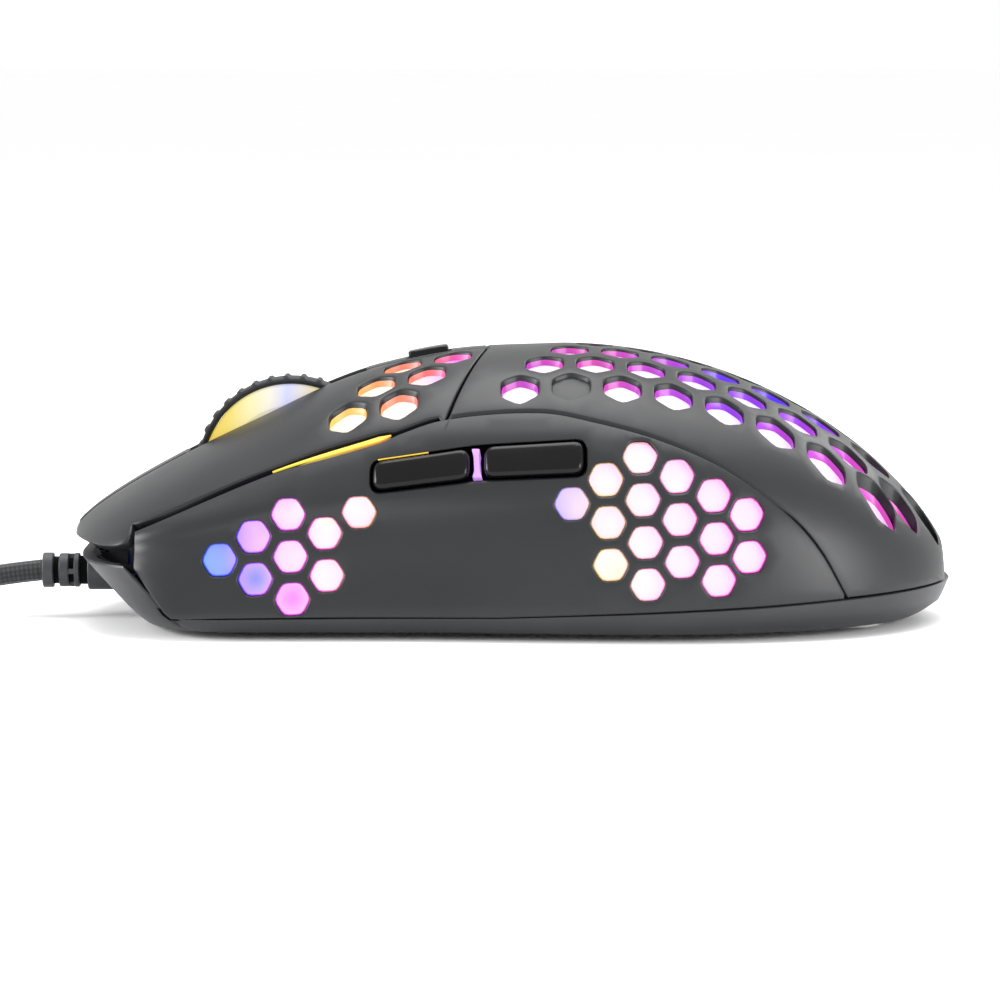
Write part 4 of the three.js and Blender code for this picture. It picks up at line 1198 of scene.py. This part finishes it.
def top_cup(x, y):
    """Rings of a cup in the back as (share of the opening, depth). They sit lower at the sides and tail."""
    rim = 0.35 + 0.3 * (abs(y) / 18) ** 2 + float(smoothstep((x - 40) / 14))
    return (0.97, CUP_BOTTOM), (0.97, rim + 0.1), (0.94, rim), (0.9, rim + 0.75)


def side_cup(x, y):
    """Rings of a cup in the flank, nearly flush and the same everywhere, whatever x and y are."""
    return (0.97, CUP_BOTTOM), (0.97, 0.75), (0.94, 0.55), (0.9, 0.95)


def light_cup(hole, centre, rings, place):
    """A milky cup that stands up in one opening: (vertices, faces, slots). Slot 1 is its floor."""
    count = len(hole)
    vertices, faces, slots = [], [], []
    for share, depth in rings:
        vertices.append(place(centre + (hole - centre) * share, np.full(count, depth)))
    middle = len(rings) * count
    vertices.append(place(centre[None], np.array([rings[-1][1] + 0.1])))
    vertices.append(place(centre[None], np.array([rings[0][1]])))
    for k in range(len(rings) - 1):
        upper = list(range(k * count, (k + 1) * count))
        lower = list(range((k + 1) * count, (k + 2) * count))
        faces += strip(lower, upper)
        slots += [0] * count
    last = (len(rings) - 1) * count
    for i in range(count):
        j = (i + 1) % count
        faces.append((last + i, last + j, middle))
        faces.append((j, i, middle + 1))
        slots += [1, 0]
    return np.concatenate(vertices), faces, slots


def make_liner(name, outline, holes, cup, place, materials, body, node, extra_holes=()):
    """A milky sheet under a cover, with a cup standing up in each of the cover's openings."""
    sheet = sheet_patch(outline, extra_holes, top=LINER_DEPTH, thickness=0.7, rim=0.1, spacing=3.0, step=2.0)
    parts, slots = [sheet], [0] * len(sheet[1])
    for hole in holes:
        centre = hole.mean(0)
        x, y, _ = dome_point(*centre)
        vertices, faces, cup_slots = light_cup(hole, centre, cup(x, y), place)
        parts.append((vertices, faces))
        slots += cup_slots
    finish_piece(name, parts, materials, body, [node], slots, smooth_angle=50)


def make_liners():
    """The five lit liners: back, both main buttons and both flanks."""
    top = [TOP_WALL, TOP_FLOOR]
    flank = [SIDE_WALL, SIDE_FLOOR]
    back = [top_hole(x, y) for x, y in palm_cells()]
    make_liner("palm_light_cups", palm_outline(1.4), back, top_cup, from_above, top, "housing",
               "palm_light_liner")
    for side, word in ((-1, "left"), (1, "right")):
        x, y = SWITCH_PRESS
        post = sheet_from_plan(*rounded([(x - 2.2, side * y - 2.7), (x + 2.2, side * y - 2.7),
                                         (x + 2.2, side * y + 2.7), (x - 2.2, side * y + 2.7)], 0.4).T)
        holes = [top_hole(x, y) for x, y in button_cells(side)]
        make_liner(word + "_button_light_cups", liner_outline(side), holes, top_cup, from_above_button, top,
                   word + "_button", word + "_button_light_liner", [subdivided(post, 1.0)])
        slot = [bar_outline(*THUMB_SLOT, 2.4)] if side < 0 else []
        make_liner(word + "_side_light_cups", side_outline(side, 0.9, -46),
                   [side_hole(x, z, side) for x, z in side_cells()], side_cup, from_side, flank, "housing",
                   word + "_side_light_liner", slot)


def liner_outline(side):
    """Under a main button, well behind its nose."""
    x = np.linspace(-47, -9.5, 40)
    outer = sheet_from_side(x, side_seam(x) + 1.9 + 0.5 * (HINGE_X - x) / 50, 1)
    y = np.linspace(17, BUTTON_INNER_Y + 1.2, 20)
    back = sheet_from_plan(split_x(y) - 1.6, y)
    x = np.linspace(-20.6, -47, 60)
    inner = sheet_from_plan(x, np.interp(x, [-37.5, -36.5, -25.5, -24.5], [9, 12, 12, SLOT_INNER_Y + 1.0]))
    loop = np.concatenate([outer, back, inner])
    loop[:, 1] *= side
    return loop


make_liners()


# ---------------------------------------------------------------- seams
LIP_THICKNESS = 0.3


def seam_path(side, start, stop, up):
    """A line beside the side seam, on the sheet."""
    x = np.linspace(start, stop, 80)
    return sheet_from_side(x, side_seam(x) + up, side)


def make_seams():
    """Black lips behind the seams and the nose, painted shade that makes the gaps and the nose recess read
    black and hides the liners' light there, and the two lit strips on the left side.
    """
    belt_x = np.linspace(-50.8, 59.0, 140)
    front_z = np.linspace(10.2, 14.0, 20)
    nose_x = np.linspace(-59.8, -50.4, 40)
    corner_x = np.linspace(-52.0, -46.5, 20)
    parts = []
    for side in (-1, 1):
        split_y = side * np.linspace(0.3, 24.0, 40)
        lips = [(seam_path(side, -50.8, -11, -0.5), 2.0, 2.7),
                (seam_path(side, -11, 44.0, 0.0), 1.4, 1.75),
                (sheet_from_side(belt_x, belt(belt_x) + 0.3, side), 1.6, 1.75),
                (sheet_from_side(PANEL_FRONT + 0.3, front_z, side), 1.8, 2.7),
                (sheet_from_side(nose_x, 10.6, side), 2.2, 2.9),
                (sheet_from_side(corner_x, 10.3, side), 3.6, 2.9),
                (sheet_from_plan(split_x(split_y) + 0.45, split_y), 1.5, 2.35)]
        parts += [ribbon(path, width, depth, LIP_THICKNESS) for path, width, depth in lips]
    # A dark block in the recess under the nose: painted shade.
    parts.append(rounded_block((-56.2, -11.0, 10.2), (-55.7, 11.0, 11.4), 0.1))
    finish_piece("painted_shade_seam_lips", parts, [BLACK_AND_PAINTED_SHADE], "housing", [])
    path = seam_path(-1, -32.6, -16.6, 0.1)
    taper = np.interp(np.linspace(0, 1, len(path)), [0, 0.5, 0.9, 1], [0.12, 0.5, 0.7, 0.1])
    x = np.linspace(-18.3, -11.5, 20)
    leak = sheet_from_side(x, along(SLOT_TOP, x) + 0.45, -1)
    strips = [ribbon(path, taper, 0.1, 0.3), ribbon(leak, 0.09, 0.0, 0.2)]
    finish_piece("seam_light", strips, [YELLOW], "housing", [])


make_seams()


# ---------------------------------------------------------------- thumb buttons
def make_thumb_buttons():
    """The two glossy bars of the thumb side."""
    for word, front, back in (("forward", THUMB_SLOT[0], -6.0), ("back", -4.0, THUMB_SLOT[1])):
        bar = sheet_patch(bar_outline(front, back, 0.0), top=-0.9, thickness=2.1, rim=0.75,
                          spacing=0.9, step=0.5)
        finish_piece(word + "_thumb_bar", [bar], [GLOSS], word + "_thumb", [word + "_thumb_button"],
                     smooth_angle=60)


def make_separator():
    """The small waisted light bar between the thumb buttons."""
    x = -5.0
    low, high = along(SLOT_BOTTOM, x) + 0.1, along(SLOT_TOP, x) - 0.1
    corners = [(x - 0.6, low), (x + 0.7, low), (x + 0.45, low + 0.8), (x + 0.3, high - 0.8), (x + 0.4, high),
               (x - 0.7, high), (x - 0.45, high - 0.8), (x - 0.35, low + 0.8)]
    loop = rounded(corners, 0.12, 3)
    patch = sheet_patch(sheet_from_side(loop[:, 0], loop[:, 1], -1), top=-0.2, thickness=2.4, rim=0.1,
                        spacing=0.5, step=0.25)
    finish_piece("light_bar", [patch], [LILAC], "housing", ["thumb_light_separator"])


def make_slot_frame():
    """The dark plate behind the thumb slot and the collar round it."""
    switches = [(-12.4, 22.6), (2.6, 24.2)]
    holes = [sheet_from_side(*(place + 1.7 * circle(20)).T, -1) for place in switches]
    plate = sheet_patch(bar_outline(*THUMB_SLOT, 1.6), holes, top=2.6, thickness=0.8, rim=0.15,
                        place=from_side)
    opening = bar_outline(*THUMB_SLOT, 0.75)
    collar = sheet_patch(bar_outline(*THUMB_SLOT, 1.6), [opening], top=1.65, thickness=1.0, rim=0.1)
    finish_piece("slot_frame", [plate, collar], [BLACK_AND_PAINTED_SHADE], "housing", ["thumb_button_frame"])


make_thumb_buttons()
make_separator()
make_slot_frame()


# ---------------------------------------------------------------- base
BASE_BOTTOM = 0.9
BASE_FRONT = [(BASE_BOTTOM, -51.5), (10.1, -60.0)]               # how far the wall reaches, by height
BASE_BACK = [(BASE_BOTTOM, 57.0), (3.0, 59.6), (6.1, 60.9)]
BASE_NARROWING = [(BASE_BOTTOM, 3.4), (1.2, 2.6), (1.6, 1.8), (2.2, 1.0), (3.0, 0.35), (4.0, 0)]
SCREWS, SCREW_HOLE_RADIUS = [(-39, 20), (-39, -20), (44, 13), (44, -13)], 2.1
SKATES = [("front_skate", -40, 11, 4), ("rear_skate", 46, 9, 4.5)]  # name, x, half span, half depth
SLEEVE_HOLE_RADIUS = 3.1


def base_rows(inset, levels_of, stations):
    """Rings of the base's wall. levels_of(x share) gives the heights of the points at that station."""
    rings = []
    for level in range(len(levels_of(stations[0]))):
        ring = []
        for side, order in ((-1, stations), (1, stations[::-1])):
            for station in order:
                z = levels_of(station)[level]
                x, y = base_point(station, z, inset)
                ring.append((x, side * y, z))
        rings.append(np.array(ring))
    return rings


def base_point(station, z, inset):
    """x and half width of the base wall at a height."""
    front = along(BASE_FRONT, z) + inset
    back = along(BASE_BACK, z) - inset
    narrow = along(BASE_NARROWING, z) + inset
    x = front + (station + HALF_LENGTH) / (2 * HALF_LENGTH) * (back - front)
    return x, max(float(half_width(station)) - narrow, 0.3)


def base_top(station, inset):
    """Where the base meets the covers at that station, found by closing in on it."""
    z = 3.0
    for _ in range(40):
        x = base_point(station, z, inset)[0]
        z += 0.5 * (float(belt(x)) - float(belt_gap(x)) - z)
    return z


def make_base():
    """The tray: a wall in rings, a floor and its openings."""
    bottom, floor, wall = BASE_BOTTOM, 2.3, 1.5
    stations = -np.cos(np.linspace(0, np.pi, 90)) * (HALF_LENGTH - 0.05)
    tops = {s: (base_top(s, 0.0), base_top(s, wall)) for s in stations}
    shares = (0.0, 0.04, 0.09, 0.16, 0.25, 0.4, 0.6, 0.8, 0.97)
    outer = base_rows(0.0, lambda s: [bottom + (tops[s][0] - bottom) * t for t in shares], stations)
    lip = base_rows(0.2, lambda s: [tops[s][0]], stations)
    inner = base_rows(wall, lambda s: [max(tops[s][1], floor + 0.2), floor], stations)
    rings = outer + lip + inner
    count = len(rings[0])
    vertices = list(rings)
    faces = []
    for k in range(len(rings) - 1):
        faces += strip(list(range((k + 1) * count, (k + 2) * count)), list(range(k * count, (k + 1) * count)))
    total = count * len(rings)
    openings = base_openings()
    floor_loops = []
    last = (len(rings) - 1) * count
    for start, ring, z, upward in ((0, rings[0], bottom, False), (last, rings[-1], floor, True)):
        triangles, origins, starts = triangulate([ring[:, :2]] + openings, np.zeros((0, 2)), 1e-6)[1:]
        where = {}
        for index, group in enumerate(origins):
            for i in group:
                where[index] = start + i if i < count else total + i - count
        rims = np.concatenate(openings)
        vertices.append(np.column_stack([rims, np.full(len(rims), z)]))
        floor_loops.append([list(range(total + s - count, total + s - count + len(loop)))
                            for s, loop in zip(starts[1:], openings)])
        total += len(rims)
        for t in triangles:
            face = tuple(where[i] for i in t)
            faces.append(face if upward else face[::-1])
    for low, high in zip(*floor_loops):
        faces += strip(low, high)
    return np.concatenate(vertices), faces


def base_openings():
    """The sensor window and the four screw holes, in plan."""
    window = subdivided(rounded([(-1, -3.2), (6, -3.2), (6, 3.2), (-1, 3.2)], 0.6, 4), 1.5)
    return [window] + [SCREW_HOLE_RADIUS * circle(20) + place for place in SCREWS]


def cut_with(piece, cutter_parts):
    """Cuts a closed solid out of a piece."""
    vertices, faces = cutter_parts
    cutter = new_object("cutter", vertices, faces, [BLACK_AND_PAINTED_SHADE])
    cut = piece.modifiers.new("cut", "BOOLEAN")
    cut.operation, cut.object, cut.solver = "DIFFERENCE", cutter, "EXACT"
    bpy.context.view_layer.update()
    result = bpy.data.meshes.new_from_object(piece.evaluated_get(bpy.context.evaluated_depsgraph_get()))
    piece.modifiers.remove(cut)
    piece.data = result
    bpy.data.objects.remove(cutter)


def make_bottom():
    """The tray with its hole for the sleeve, and the two skates."""
    vertices, faces = make_base()
    # The tray takes the lighter base plastic, whose extra lightness is painted floor bounce.
    base = new_object("base_tray", vertices, faces, [BASE_WITH_PAINTED_BOUNCE], smooth_angle=40)
    rod = [(0, -6), (SLEEVE_HOLE_RADIUS, -6), (SLEEVE_HOLE_RADIUS, 6), (0, 6)]
    cut_with(base, lathe(rod, "x", (-57, 0, CABLE_Z), 48))
    settle(base, "housing", ["base_shell"])
    for name, x, half_span, half_depth in SKATES:
        angles = np.linspace(0, np.pi, 24)
        arc = np.column_stack([half_depth * np.cos(angles), half_span + half_depth * np.sin(angles)])
        loop = np.concatenate([arc, -arc]) + (x, 0)

        def under(ab, depth):
            """Places of a flat foot, seen from below."""
            return np.column_stack([ab[:, 0], -ab[:, 1], depth])

        foot = sheet_patch(loop, top=0.0, thickness=0.6, rim=0.25, spacing=4, place=under, step=0.8)
        finish_piece("smooth_" + name, [foot], [FOOT_PLASTIC], "housing", [name])


make_bottom()


# ---------------------------------------------------------------- wheel
def make_tyre():
    """A rubber ring with 36 rounded ribs. Its section is (y, radius, how far that point rises at a rib)."""
    ribs, per_rib = 36, 14
    half = [(0, 13.2, 0.3), (1.4, 13.2, 0.3), (2.7, 13.2, 0.3), (2.95, 13.05, 0.2), (3.0, 12.85, 0),
            (2.9, 12.6, 0), (2.55, 12.35, 0)]
    across = [(-y, radius, rise) for y, radius, rise in half[:0:-1]] + half + [(0, 12.32, 0)]
    count = ribs * per_rib
    turn = np.arange(count) / per_rib
    phase = turn % 1
    height = smoothstep((0.2 - np.abs(phase - 0.3)) / 0.1)
    angles = 2 * np.pi * turn / ribs
    vertices = []
    for angle, rise in zip(angles, height):
        for y, radius, share in across:
            r = radius + share * rise
            vertices.append((WHEEL_X + r * math.cos(angle), y, WHEEL_Z + r * math.sin(angle)))
    faces = []
    n = len(across)
    for i in range(count):
        j = (i + 1) % count
        faces += [(i * n + k, j * n + k, j * n + (k + 1) % n, i * n + (k + 1) % n) for k in range(n)]
    return np.array(vertices), faces


def make_wheel():
    """The tyre and the lit disc it sits on."""
    finish_piece("ribbed_tyre", [make_tyre()], [RUBBER], "wheel", ["wheel_tyre"],
                 smooth_angle=40)
    half = [(12.3, 2.3), (12.1, 2.5), (9.3, 2.5), (9.0, 2.3), (8.5, 2.2), (3.5, 2.2), (3.2, 2.3),
            (3.2, 2.75), (3.0, 2.9), (1.8, 2.9)]
    outline = [(radius, -y) for radius, y in half[::-1]] + half
    disc = lathe(outline, "y", (WHEEL_X, 0, WHEEL_Z), 96)
    finish_piece("lit_wheel_disc", [disc], [WHEEL_GLOW], "wheel", ["wheel_hub"],
                 smooth_angle=30)


make_wheel()


# ---------------------------------------------------------------- parts that keep their frame shape
def dress(material, *names):
    """Gives frame parts their material."""
    for name in names:
        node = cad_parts[name]
        node.data.materials.clear()
        node.data.materials.append(material)


dress(STEEL, "wheel_axle", "usb_plug_shell", *[f"base_screw_{n}" for n in (1, 2, 3, 4)])
dress(BOARD, "thumb_circuit_board", "dpi_circuit_board", "main_circuit_board")
dress(DARK_PART, "wheel_carrier", "wheel_encoder", "middle_click_switch", "dpi_switch", "left_click_switch",
      "right_click_switch", "forward_thumb_switch", "back_thumb_switch", "optical_sensor", "controller_chip")
dress(WHITE_PART, "cable_connector", "middle_switch_plunger", "dpi_switch_plunger", "left_switch_plunger",
      "right_switch_plunger", "forward_thumb_plunger", "back_thumb_plunger", "usb_plug_tongue",
      *[f"light_emitter_{n}" for n in (1, 2, 3, 4)])
dress(CLEAR, "sensor_lens")

# ---------------------------------------------------------------- final update
bpy.context.view_layer.update()
